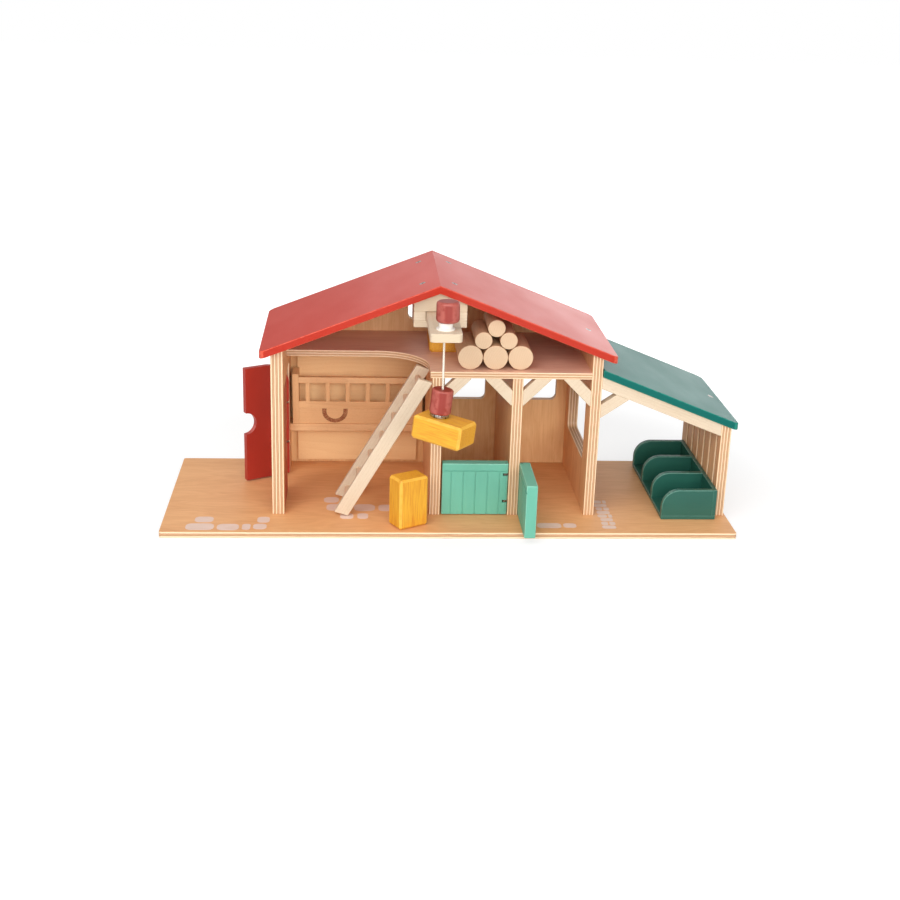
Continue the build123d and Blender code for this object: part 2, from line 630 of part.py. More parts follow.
# ---------------------------------------------------------------- crane
CRANE_X = RIDGE_X + CRANE_OFFSET
ARM_X = CRANE_X + ARM_OFFSET
BLOCK_UNDER = RIDGE_UNDER - CRANE_BLOCK_DROP
ARM_TOP = BLOCK_UNDER - ARM_CLEARANCE
ARM_UNDER = ARM_TOP - ARM_THICKNESS
BOARD_TOP = ARM_UNDER - ARM_CLEARANCE
BORE_Y = FRONT - ARM_REACH + BORE_FROM_TIP
BUSHING_TOP = ARM_TOP + BUSHING_HEIGHT
KNOB_BOTTOM = BUSHING_TOP + REST_GAP
WEIGHT_TOP = KNOB_BOTTOM - CORD_DROP


def ridge_beam():
    """The beam under the ridge that both roof panels are screwed to."""
    left = CRANE_X - CRANE_WIDTH / 2
    right = CRANE_X + CRANE_WIDTH / 2
    outline = [(left, BLOCK_UNDER), (right, BLOCK_UNDER), (right, roof_under(right)),
               (RIDGE_X, RIDGE_UNDER), (left, roof_under(left))]
    piece = eased(along_y(outline, FRONT, REAR))
    for side in (-1, 1):
        for cutter in ridge_screws(side, hole=True):
            piece -= cutter
    return piece


def crane_spacer(side):
    """One of the two cheeks beside the sliding arm."""
    near = ARM_X + side * (ARM_WIDTH / 2 + ARM_CLEARANCE)
    far = CRANE_X + side * CRANE_WIDTH / 2
    return eased(block((min(near, far), FRONT, BOARD_TOP),
                       (max(near, far), FRONT + CRANE_DEPTH, BLOCK_UNDER)))


def crane_board():
    """The board under the arm."""
    return eased(block((CRANE_X - CRANE_WIDTH / 2, FRONT, BOARD_TOP - CRANE_BOARD),
                       (CRANE_X + CRANE_WIDTH / 2, FRONT + CRANE_DEPTH, BOARD_TOP)))


def crane_arm():
    """The sliding arm, with rounded front corners and the cord's bore."""
    front = FRONT - ARM_REACH
    arm = block((ARM_X - ARM_WIDTH / 2, front, ARM_UNDER),
                (ARM_X + ARM_WIDTH / 2, front + ARM_LENGTH, ARM_TOP))
    tip = [e for e in arm.edges().filter_by(Axis.Z) if e.center().Y < front + 1]
    arm = arm.fillet(ARM_CORNER, tip)
    arm = eased(arm)
    return arm - upright_cylinder(ARM_X, BORE_Y, ARM_UNDER - 1, ARM_TOP + 1, CRANE_BORE / 2)


def crane_bushing():
    """The flanged bushing that the cord runs through."""
    flange = upright_cylinder(ARM_X, BORE_Y, ARM_TOP, ARM_TOP + BUSHING_FLANGE, BUSHING_FLANGE_RADIUS)
    flange = flange.fillet(EASE, flange.edges().sort_by(Axis.Z)[-1:])
    collar = upright_cylinder(ARM_X, BORE_Y, ARM_TOP + BUSHING_FLANGE, BUSHING_TOP, BUSHING_RADIUS)
    collar = collar.fillet(PAINTED_EASE, collar.edges().sort_by(Axis.Z)[-1:])
    return flange + collar - upright_cylinder(ARM_X, BORE_Y, ARM_TOP - 1, BUSHING_TOP + 1, CRANE_BORE / 2)


def lift_knob():
    """The knob on top of the cord, lying to one side on the bushing."""
    x = CRANE_X + KNOB_OFFSET
    knob = upright_cylinder(x, BORE_Y, KNOB_BOTTOM, KNOB_BOTTOM + KNOB_HEIGHT, KNOB_RADIUS)
    return eased(knob, KNOB_EDGE)


def hoist_cord():
    """The cord from the knob down to the weight."""
    return upright_cylinder(CRANE_X, BORE_Y, WEIGHT_TOP, KNOB_BOTTOM, CORD_DIAMETER / 2)


def load(shape):
    """Hang a shape made below the origin from the cord's end, tilted as the load hangs."""
    return Pos(CRANE_X, BORE_Y, WEIGHT_TOP) * Rot(0, LOAD_TILT, 0) * shape


def magnet_weight():
    """The round weight, with a level facet where the cord enters it."""
    body = eased(upright_cylinder(0, 0, -WEIGHT_HEIGHT, CORD_DIAMETER, WEIGHT_RADIUS), 2.0)
    hung = load(body)
    return hung - block((CRANE_X - CORD_DIAMETER, BORE_Y - CORD_DIAMETER, WEIGHT_TOP),
                        (CRANE_X + CORD_DIAMETER, BORE_Y + CORD_DIAMETER, WEIGHT_TOP + WEIGHT_HEIGHT))


def magnet():
    """The disc magnet under the weight."""
    disc = upright_cylinder(0, 0, -WEIGHT_HEIGHT - MAGNET_HEIGHT, -WEIGHT_HEIGHT, MAGNET_RADIUS)
    return load(eased(disc, 0.5))


BALE_DROP = WEIGHT_HEIGHT + MAGNET_HEIGHT + REST_GAP


def bale():
    """A bale lying down, with the middle of its top face at the origin."""
    body = block((-BALE_LENGTH / 2, -BALE_WIDTH / 2, -BALE_HEIGHT),
                 (BALE_LENGTH / 2, BALE_WIDTH / 2, 0))
    return body.chamfer(BALE_CHAMFER, None, body.edges())


def strike_disc(hole=False):
    """The steel disc let into a bale's top, or its recess."""
    top = 1 if hole else 0
    return upright_cylinder(-LOAD_SHIFT, 0, -STRIKE_HEIGHT, top, STRIKE_RADIUS)


def hung_bale(shape):
    """Place a bale's shape under the magnet."""
    shift = Pos(0, 0, -BALE_DROP) * Rot(0, 0, -LOAD_TURN) * Pos(LOAD_SHIFT, 0, 0)
    return load(shift * shape)


def floor_bale():
    """The bale that stands on its end by the divider."""
    x = DIVIDER_LEFT - FLOOR_BALE_OFFSET
    y = BASE_FRONT + FLOOR_BALE_FROM_FRONT
    upright = Rot(0, 90, 0) * Pos(BALE_LENGTH / 2, 0, BALE_HEIGHT / 2) * bale()
    return Pos(x, y, FLOOR + BALE_LENGTH + REST_GAP) * Rot(0, 0, FLOOR_BALE_TURN) * Rot(0, 0, 90) * upright


def loft_bale():
    """The bale that lies in the loft, end on to the front."""
    x = DIVIDER_LEFT + LOFT_BALE_OFFSET
    y = FRONT + LOFT_BALE_RECESS + BALE_LENGTH / 2
    return Pos(x, y, LOFT_TOP + BALE_HEIGHT + REST_GAP) * Rot(0, 0, 90) * bale()


# ---------------------------------------------------------------- logs and ladder
def log_places():
    """Name, place across the front, height and radius of each log in the pile."""
    big = LOG_RADIUS
    small = SMALL_LOG_RADIUS
    pitch = big * 2 + LOG_GAP
    first = DIVIDER_LEFT + LOG_OFFSET
    low = LOFT_TOP + big + REST_GAP
    reach = big + small + LOG_GAP
    middle = low + math.sqrt(reach ** 2 - (pitch / 2) ** 2)
    half = pitch / 2
    top = middle + math.sqrt((small * 2 + LOG_GAP) ** 2 - half ** 2)
    return [("log_left", first, low, big), ("log_middle", first + pitch, low, big),
            ("log_right", first + 2 * pitch, low, big), ("log_upper_left", first + half, middle, small),
            ("log_upper_right", first + half + pitch, middle, small), ("log_top", first + pitch, top, small)]


def log(x, z, radius):
    """One log lying front to back."""
    start = FRONT + LOG_RECESS
    body = Pos(x, start + LOG_LENGTH / 2, z) * Rot(90, 0, 0) * Cylinder(radius, LOG_LENGTH)
    return eased(body)


def ladder_run():
    """Slope of the ladder: level travel for each unit of height."""
    return LADDER_HEEL / LADDER_RISE


LADDER_HEEL_X = DIVIDER_LEFT - LADDER_HEEL - REST_GAP
LADDER_FRONT_Y = FRONT + LADDER_FRONT
LADDER_REAR_Y = LADDER_FRONT_Y + LADDER_WIDTH


def rung_places():
    """Middle of each rung, seen from the front."""
    lift = RAIL_WIDTH / 2 * math.tan(math.radians(LADDER_END_SLOPE))
    step = LADDER_RISE / RUNG_COUNT
    heights = [step * (index + 0.5) for index in range(RUNG_COUNT)]
    foot_x = LADDER_HEEL_X - RAIL_WIDTH / 2
    foot_z = FLOOR + REST_GAP + lift
    return [(foot_x + height * ladder_run(), foot_z + height) for height in heights]


def ladder_rail(front):
    """One rail, with blind holes for the rungs on its inner side."""
    lift = RAIL_WIDTH * math.tan(math.radians(LADDER_END_SLOPE))
    foot = FLOOR + REST_GAP
    top_x = LADDER_HEEL_X + LADDER_HEEL
    outline = [(LADDER_HEEL_X, foot), (top_x, foot + LADDER_RISE),
               (top_x - RAIL_WIDTH, foot + LADDER_RISE + lift), (LADDER_HEEL_X - RAIL_WIDTH, foot + lift)]
    start = LADDER_FRONT_Y if front else LADDER_REAR_Y - RAIL_THICKNESS
    rail = eased(along_y(outline, start, start + RAIL_THICKNESS))
    hole_start = start + RAIL_THICKNESS - RUNG_TENON if front else start - 1
    hole_length = RUNG_TENON + 1
    for x, z in rung_places():
        rail -= Pos(x, hole_start + hole_length / 2, z) * Rot(90, 0, 0) * Cylinder(RUNG_RADIUS, hole_length)
    return rail


def ladder_rungs():
    """The round rungs, from the bottom of one hole to the bottom of the other."""
    length = LADDER_WIDTH - 2 * (RAIL_THICKNESS - RUNG_TENON)
    middle = (LADDER_FRONT_Y + LADDER_REAR_Y) / 2
    rungs = [Pos(x, middle, z) * Rot(90, 0, 0) * Cylinder(RUNG_RADIUS, length) for x, z in rung_places()]
    return Compound(children=rungs)


# ---------------------------------------------------------------- hay rack
RACK_MIDDLE = (LEFT_IN + DIVIDER_LEFT) / 2
RACK_FRONT = REAR - RACK_DEPTH
RACK_REAR = REAR - RACK_BACK_THICKNESS
RACK_LEFT = RACK_MIDDLE - RACK_LENGTH / 2
RACK_RIGHT = RACK_MIDDLE + RACK_LENGTH / 2


def rack_front_y(z):
    """Depth of the rack's leaning front at a height over the floor."""
    return RACK_FRONT + (RACK_TOP - z) * math.tan(math.radians(RACK_LEAN))


def leaning_strip(left, right, low, high, thickness):
    """A flat piece in the rack's leaning front, between two heights over the floor."""
    outline = [(rack_front_y(low), FLOOR + low), (rack_front_y(low) + thickness, FLOOR + low),
               (rack_front_y(high) + thickness, FLOOR + high), (rack_front_y(high), FLOOR + high)]
    return eased(along_x(outline, left, right), 0.4)


def rack_cheek(left):
    """A side of the rack, which stands over the top rail."""
    low = RACK_BASE
    high = RACK_TOP + RACK_CHEEK_RISE
    outline = [(rack_front_y(low), FLOOR + low), (RACK_REAR, FLOOR + low), (RACK_REAR, FLOOR + high),
               (rack_front_y(high), FLOOR + high)]
    return along_x(outline, left, left + RACK_CHEEK)


def rack_top_rail():
    """The rail between both cheeks."""
    return eased(block((RACK_LEFT + RACK_CHEEK, RACK_FRONT, FLOOR + RACK_TOP - RACK_RAIL_HEIGHT),
                       (RACK_RIGHT - RACK_CHEEK, RACK_FRONT + RACK_RAIL_DEPTH, FLOOR + RACK_TOP)))


RACK_SLAT_TOP = RACK_TOP - RACK_RAIL_HEIGHT
RACK_SLAT_BOTTOM = RACK_SLAT_TOP - RACK_SLAT_LENGTH
RACK_BOARD_TOP = RACK_SLAT_BOTTOM - RACK_LOWER_RAIL


def rack_slats():
    """The slats between the two rails."""
    slats = []
    for index in range(RACK_SLAT_COUNT):
        x = RACK_MIDDLE + (index - (RACK_SLAT_COUNT - 1) / 2) * RACK_SLAT_PITCH
        slats.append(leaning_strip(x - RACK_SLAT_WIDTH / 2, x + RACK_SLAT_WIDTH / 2,
                                   RACK_SLAT_BOTTOM, RACK_SLAT_TOP, RACK_BOARD_THICKNESS))
    return Compound(children=slats)


def rack_lower_rail():
    """The rail under the slats, between the cheeks."""
    return leaning_strip(RACK_LEFT + RACK_CHEEK, RACK_RIGHT - RACK_CHEEK, RACK_BOARD_TOP,
                         RACK_SLAT_BOTTOM, RACK_BOARD_THICKNESS)


def rack_board():
    """The board that closes the rack's lower front."""
    return leaning_strip(RACK_LEFT + RACK_CHEEK, RACK_RIGHT - RACK_CHEEK, RACK_BASE, RACK_BOARD_TOP,
                         RACK_BOARD_THICKNESS)


def rack_ledge():
    """The ledge across the bay that the rack stands on."""
    return eased(block((LEFT_IN, REAR - LEDGE_DEPTH, FLOOR + RACK_BASE - LEDGE_THICKNESS),
                       (DIVIDER_LEFT, RACK_REAR, FLOOR + RACK_BASE)))


def rack_back():
    """The board against the back wall that the rack is fixed to."""
    return eased(block((RACK_MIDDLE - RACK_BACK_LENGTH / 2, RACK_REAR, FLOOR + RACK_BACK_GAP),
                       (RACK_MIDDLE + RACK_BACK_LENGTH / 2, REAR, LOFT_UNDER - RACK_BACK_TOP_GAP)))


# ---------------------------------------------------------------- feed pen in the lean-to
PEN_RIGHT = LEAN_WALL_IN - PEN_WALL_GAP
PEN_LEFT = PEN_RIGHT - PEN_WIDTH
PEN_START = FRONT + PEN_FRONT
PEN_END = BASE_REAR - PEN_REAR_MARGIN
PEN_BOTTOM = FLOOR + REST_GAP


def pen_divider(index):
    """One upright of the pen, with a rounded upper corner."""
    y = PEN_START + (PEN_END - PEN_START - PEN_DIVIDER) * index / (PEN_DIVIDERS - 1)
    piece = block((PEN_LEFT, y, PEN_BOTTOM + PEN_FLOOR),
                  (PEN_RIGHT - PEN_BACK, y + PEN_DIVIDER, PEN_BOTTOM + PEN_HEIGHT))
    corner = [e for e in piece.edges().filter_by(Axis.Y)
              if e.center().X < PEN_LEFT + 1 and e.center().Z > PEN_BOTTOM + PEN_HEIGHT - 1]
    piece = piece.fillet(PEN_CORNER, corner)
    soft = [e for e in piece.edges() if e.center().X < PEN_RIGHT - PEN_BACK - 1
            and e.center().Z > PEN_BOTTOM + PEN_FLOOR + 1]
    return piece.fillet(PAINTED_EASE, soft)


def pen_floor():
    """The pen's floor."""
    return eased(block((PEN_LEFT, PEN_START, PEN_BOTTOM), (PEN_RIGHT, PEN_END, PEN_BOTTOM + PEN_FLOOR)))


def pen_back():
    """The pen's back, along the lean-to wall."""
    return eased(block((PEN_RIGHT - PEN_BACK, PEN_START, PEN_BOTTOM + PEN_FLOOR),
                       (PEN_RIGHT, PEN_END, PEN_BOTTOM + PEN_HEIGHT)))


# ---------------------------------------------------------------- all pieces
def shell_pieces():
    """Base, walls, loft, braces and roofs."""
    pieces = {
        "base_board": base_board(),
        "left_wall": left_wall(),
        "left_divider": divider(DIVIDER_LEFT, DIVIDER_RIGHT),
        "middle_divider": middle_divider(),
        "right_wall": right_wall(),
        "back_wall": back_wall(),
        "loft_floor": loft_floor(),
        "red_roof_left": red_roof(-1),
        "red_roof_right": red_roof(1),
        "lean_to_roof": lean_to_roof(),
        "lean_to_wall": lean_to_wall(),
        "lean_to_beam": lean_to_beam(),
        "lean_to_brace": lean_to_brace(),
        "roof_screws": Compound(children=ridge_screws(-1) + ridge_screws(1) + [right_wall_screw(),
                                                                              lean_wall_screw()]),
    }
    corners = [(DIVIDER_RIGHT, 1), (MIDDLE_LEFT, -1), (MIDDLE_RIGHT, 1), (RIGHT_IN, -1)]
    pieces["stall_braces"] = Compound(children=[stall_brace(x, side) for x, side in corners])
    return pieces


def door_and_gate_pieces():
    """Doors, gates and their hinges."""
    door_pin = upright_cylinder(0, 0, DOOR_BOTTOM, DOOR_PIN_TOP, DOOR_PIN_DIAMETER / 2)
    gate_pin = upright_cylinder(0, 0, GATE_BOTTOM, GATE_PIN_TOP, GATE_PIN_DIAMETER / 2)
    pieces = {"door_hinge_eyes": door_hinge_eyes(), "gate_hinge_eyes": gate_hinge_eyes()}
    for leaf in ("front", "rear"):
        pieces[f"{leaf}_door"] = place_door(leaf, door_leaf())
        pieces[f"{leaf}_door_pin"] = place_door(leaf, door_pin)
    for side in ("left", "right"):
        pieces[f"{side}_gate"] = place_gate(side, gate())
        pieces[f"{side}_gate_pin"] = place_gate(side, gate_pin)
    return pieces


def crane_pieces():
    """The ridge beam, and the crane with its load."""
    return {
        "ridge_beam": ridge_beam(),
        "crane_spacers": Compound(children=[crane_spacer(-1), crane_spacer(1)]),
        "crane_board": crane_board(),
        "crane_arm": crane_arm(),
        "crane_bushing": crane_bushing(),
        "lift_knob": lift_knob(),
        "hoist_cord": hoist_cord(),
        "magnet_weight": magnet_weight(),
        "magnet": magnet(),
        "hoisted_bale": hung_bale(bale() - strike_disc(hole=True)),
        "strike_disc": hung_bale(strike_disc()),
    }


def loose_pieces():
    """Bales, logs, ladder, and the feed pen."""
    pieces = {"floor_bale": floor_bale(), "loft_bale": loft_bale(), "ladder_rungs": ladder_rungs(),
              "ladder_front_rail": ladder_rail(True), "ladder_rear_rail": ladder_rail(False),
              "pen_floor": pen_floor(), "pen_back": pen_back(),
              "pen_dividers": Compound(children=[pen_divider(index) for index in range(PEN_DIVIDERS)])}
    for name, x, z, radius in log_places():
        pieces[name] = log(x, z, radius)
    return pieces


def rack_pieces():
    """The hay rack with its ledge."""
    return {
        "rack_cheek_left": rack_cheek(RACK_LEFT),
        "rack_cheek_right": rack_cheek(RACK_RIGHT - RACK_CHEEK),
        "rack_top_rail": rack_top_rail(),
        "rack_slats": rack_slats(),
        "rack_lower_rail": rack_lower_rail(),
        "rack_board": rack_board(),
        "rack_ledge": rack_ledge(),
        "rack_back": rack_back(),
    }


def main():
    """Build and write every piece."""
    os.makedirs("parts", exist_ok=True)
    for group in (shell_pieces, door_and_gate_pieces, crane_pieces, loose_pieces, rack_pieces):
        for name, shape in group().items():
            save(name, shape)
    print("cord length", KNOB_BOTTOM - WEIGHT_TOP, "mm, straight")


main()
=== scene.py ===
"""Looks for a wooden toy barn: painted roofs, plywood walls, bare wood fittings and a printed base board."""

import logging
import math
from collections.abc import Iterable
from dataclasses import dataclass
from enum import Enum

import bpy
from mathutils import Matrix, Vector

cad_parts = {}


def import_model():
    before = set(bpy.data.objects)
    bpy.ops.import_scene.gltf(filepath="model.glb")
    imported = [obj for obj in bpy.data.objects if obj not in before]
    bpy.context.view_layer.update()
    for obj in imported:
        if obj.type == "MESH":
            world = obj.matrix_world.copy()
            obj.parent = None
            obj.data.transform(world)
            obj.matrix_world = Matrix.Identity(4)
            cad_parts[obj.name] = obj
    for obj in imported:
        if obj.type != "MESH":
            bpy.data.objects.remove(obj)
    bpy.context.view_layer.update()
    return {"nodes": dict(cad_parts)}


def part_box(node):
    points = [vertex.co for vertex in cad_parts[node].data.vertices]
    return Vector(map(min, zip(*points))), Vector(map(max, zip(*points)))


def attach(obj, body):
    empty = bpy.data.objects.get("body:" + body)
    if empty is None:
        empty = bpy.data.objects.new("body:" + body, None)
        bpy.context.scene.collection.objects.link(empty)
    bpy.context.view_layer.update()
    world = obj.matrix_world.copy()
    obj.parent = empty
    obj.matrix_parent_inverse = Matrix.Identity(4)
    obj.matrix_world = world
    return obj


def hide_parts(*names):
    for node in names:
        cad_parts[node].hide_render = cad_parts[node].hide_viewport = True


log = logging.getLogger("barn")

MM = 0.001
BOARD_TOP = 6.1                 # base board's top over the ground, in millimetres
FRONT_SHIFT = 102.15            # base board's front edge to its middle
PITCH = math.radians(21.3)      # slope of every roof
PRINT_HEIGHT = 0.05             # ink over the wood
RIM_SHADE = 0.78                # darkening of a painted panel's thin sides

Colour = tuple[float, float, float, float]
Triple = tuple[float, float, float]
Outline = tuple[float, float, float, float]


def paint(red: int, green: int, blue: int) -> Colour:
    """Turn a colour as a screen shows it into the linear values that shaders use.

    Args:
        red: Red, from 0 to 255.
        green: Green, from 0 to 255.
        blue: Blue, from 0 to 255.

    Returns:
        The linear colour, with full alpha.
    """
    channels = [value / 255 for value in (red, green, blue)]
    linear = [c / 12.92 if c <= 0.04045 else ((c + 0.055) / 1.055) ** 2.4 for c in channels]
    return linear[0], linear[1], linear[2], 1.0


def on_board(x: float, y: float, z: float) -> Vector:
    """Turn millimetres from the middle of the base board's front edge, over its top, into the frame.

    Args:
        x: Distance to the right.
        y: Distance behind the front edge.
        z: Height over the board.

    Returns:
        The place in the frame, in metres.
    """
    return Vector((x, y - FRONT_SHIFT, z + BOARD_TOP)) * MM


class Signal:
    """One output of a shader node. Arithmetic on it adds Math nodes to its tree."""

    def __init__(self, tree: "Tree", socket: bpy.types.NodeSocket) -> None:
        """Wrap a socket.

        Args:
            tree: The tree that the socket's node is in.
            socket: The output socket.
        """
        self.tree = tree
        self.socket = socket

    def math(self, operation: str, *others: "Signal | float", clamp: bool = False) -> "Signal":
        """Add a Math node with this signal as its first value.

        Args:
            operation: The node's operation.
            others: Its further values.
            clamp: Whether the result is kept between 0 and 1.

        Returns:
            The node's result.
        """
        values = dict(enumerate((self, *others)))
        return self.tree.add("ShaderNodeMath", {"operation": operation, "use_clamp": clamp}, values)

    def __add__(self, other: "Signal | float") -> "Signal":
        """Sum of two values."""
        return self.math("ADD", other)

    __radd__ = __add__

    def __mul__(self, other: "Signal | float") -> "Signal":
        """Product of two values."""
        return self.math("MULTIPLY", other)

    def __sub__(self, other: "Signal | float") -> "Signal":
        """Difference of two values."""
        return self.math("SUBTRACT", other)

    def __rsub__(self, other: float) -> "Signal":
        """A number less this value."""
        return (self * -1) + other

    def __truediv__(self, other: "Signal | float") -> "Signal":
        """Quotient of two values."""
        return self.math("DIVIDE", other)

    def __pow__(self, other: float) -> "Signal":
        """This value raised to a power."""
        return self.math("POWER", other)

    def __mod__(self, other: float) -> "Signal":
        """Remainder, never below 0."""
        return self.math("FLOORED_MODULO", other)

    def __abs__(self) -> "Signal":
        """Size of the value without its sign."""
        return self.math("ABSOLUTE")

    def held(self) -> "Signal":
        """This value kept between 0 and 1."""
        return self.math("MAXIMUM", 0.0, clamp=True)

    def rise(self, low: float, high: float) -> "Signal":
        """A smooth step.

        Args:
            low: Where it leaves 0.
            high: Where it reaches 1.

        Returns:
            A value from 0 to 1.
        """
        settings = {"interpolation_type": "SMOOTHSTEP"}
        values = {0: self, 1: low, 2: high, 3: 0.0, 4: 1.0}
        return self.tree.add("ShaderNodeMapRange", settings, values)


class Tree:
    """A material's node tree, with the nodes that the finishes share."""

    def __init__(self, name: str, lay: "Lay") -> None:
        """Start an empty material.

        Args:
            name: The material's name.
            lay: How the piece's own axes lie.
        """
        self.material = bpy.data.materials.new(name)
        self.material.use_nodes = True
        self.nodes = self.material.node_tree.nodes
        self.links = self.material.node_tree.links
        self.nodes.clear()
        turn = lay.turn()
        settings = {"vector_type": "TEXTURE"}
        place = self.add("ShaderNodeTexCoord", output="Object")
        facing = self.add("ShaderNodeTexCoord", output="Normal")
        origin = tuple(value * MM for value in lay.origin)
        values = {"Vector": place, "Location": origin, "Rotation": turn}
        own = self.add("ShaderNodeMapping", settings, values)
        self.point = self.vector("SCALE", own, scale=1 / MM)
        self.normal = self.add("ShaderNodeMapping", settings, {"Vector": facing, "Rotation": turn})

    def add(self, kind: str, settings: dict | None = None, values: dict | None = None,
            output: int | str = 0) -> Signal:
        """Add a node.

        Args:
            kind: The node's type.
            settings: Its settings, which are set first.
            values: Numbers, tuples or signals for its sockets, by name or place.
            output: Which of its outputs to use.

        Returns:
            That output.
        """
        node = self.nodes.new(kind)
        for name, value in (settings or {}).items():
            setattr(node, name, value)
        for name, value in (values or {}).items():
            if isinstance(value, Signal):
                self.links.new(value.socket, node.inputs[name])
            else:
                node.inputs[name].default_value = value
        return Signal(self, node.outputs[output])

    def vector(self, operation: str, first: Signal, second: Signal | Triple | None = None,
               scale: float | None = None) -> Signal:
        """Add a Vector Math node.

        Args:
            operation: The node's operation.
            first: Its first vector.
            second: Its second vector.
            scale: Its scale, where it has one.

        Returns:
            The result.
        """
        values: dict = {0: first}
        if second is not None:
            values[1] = second
        if scale is not None:
            values["Scale"] = scale
        output = "Value" if operation == "LENGTH" else "Vector"
        return self.add("ShaderNodeVectorMath", {"operation": operation}, values, output)

    def parts(self, vector: Signal) -> tuple[Signal, Signal, Signal]:
        """Split a vector.

        Args:
            vector: The vector.

        Returns:
            Its x, y and z.
        """
        node = self.nodes.new("ShaderNodeSeparateXYZ")
        self.links.new(vector.socket, node.inputs[0])
        return tuple(Signal(self, socket) for socket in node.outputs)

    def noise(self, size: Triple, detail: float = 2.0, roughness: float = 0.5, distortion: float = 0.0,
              shift: float = 0.0) -> Signal:
        """Noise whose blobs have a given size in millimetres along the piece's own axes.

        Args:
            size: Blob size across, through and along the grain.
            detail: Octaves.
            roughness: How strong the finer octaves are.
            distortion: How far the pattern is swirled.
            shift: Moves to another part of the pattern.

        Returns:
            A value around 0.5.
        """
        scaled = self.vector("DIVIDE", self.point, size)
        moved = self.vector("ADD", scaled, (shift, shift * 0.7, shift * 1.3))
        values = {"Vector": moved, "Scale": 1.0, "Detail": detail, "Roughness": roughness,
                  "Distortion": distortion}
        return self.add("ShaderNodeTexNoise", {"noise_dimensions": "3D"}, values)

    def streaks(self, width: float, length: float, shift: float) -> Signal:
        """Fine streaks along the grain.

        Args:
            width: Their width in millimetres.
            length: Their length in millimetres.
            shift: Moves to another part of the pattern.

        Returns:
            A value around 0.5.
        """
        return self.noise((width, width, length), detail=3.0, roughness=0.6, shift=shift)

    def broad_face(self) -> Signal:
        """1 on a panel's two broad faces and 0 on its thin sides."""
        return abs(self.parts(self.normal)[1]).rise(0.55, 0.8)

    def mix(self, factor: Signal | float, first: Signal | Colour, second: Signal | Colour) -> Signal:
        """Mix two colours.

        Args:
            factor: Share of the second.
            first: The first colour.
            second: The second colour.

        Returns:
            The mixed colour.
        """
        return self.add("ShaderNodeMix", {"data_type": "RGBA"}, {0: factor, 6: first, 7: second}, output=2)

    def surface(self, colour: Signal | Colour, roughness: Signal | float, height: Signal | None = None,
                depth: float = 0.05, **more: float) -> bpy.types.Material:
        """Finish the material.

        Args:
            colour: Base colour.
            roughness: Roughness.
            height: Relief, from 0 to 1.
            depth: How deep that relief is, in millimetres.
            more: Further values of the surface shader, with underscores for spaces.

        Returns:
            The material.
        """
        values: dict = {"Base Color": colour, "Roughness": roughness}
        if height is not None:
            relief = {"Height": height, "Distance": depth * MM, "Strength": 1.0}
            values["Normal"] = self.add("ShaderNodeBump", None, relief)
        for name, value in more.items():
            values[name.replace("_", " ")] = value
        shader = self.add("ShaderNodeBsdfPrincipled", None, values)
        self.add_output(shader)
        return self.material

    def add_output(self, shader: Signal) -> None:
        """Send a shader to the material's surface.

        Args:
            shader: The shader.
        """
        node = self.nodes.new("ShaderNodeOutputMaterial")
        self.links.new(shader.socket, node.inputs["Surface"])


@dataclass(frozen=True)
class Lay:
    """How a piece's own axes lie: z along its grain, y square to its broad face."""

    grain: Triple = (0.0, 0.0, 1.0)
    face: Triple = (0.0, 1.0, 0.0)
    origin: Triple = (0.0, 0.0, 0.0)

    def turn(self) -> Triple:
        """Angles that turn the frame's axes to the piece's own."""
        along = Vector(self.grain).normalized()
        through = Vector(self.face).normalized()
        matrix = Matrix((through.cross(along), through, along)).transposed()
        return tuple(matrix.to_euler())


UPRIGHT = Lay()
SIDEWAYS = Lay(face=(1.0, 0.0, 0.0))
LEVEL = Lay(grain=(1.0, 0.0, 0.0), face=(0.0, 0.0, 1.0))
DEEP = Lay(grain=(0.0, 1.0, 0.0), face=(0.0, 0.0, 1.0))
ACROSS = Lay(grain=(1.0, 0.0, 0.0), face=(0.0, 1.0, 0.0))


def edge_mask(tree: Tree) -> Signal:
    """Find the rounded edges of a squared piece.

    Args:
        tree: The material's tree.

    Returns:
        1 on its rounded edges and 0 on its flat faces.
    """
    x, y, z = tree.parts(tree.normal)
    largest = abs(x).math("MAXIMUM", abs(y)).math("MAXIMUM", abs(z))
    return 1 - largest.rise(0.9, 0.99)


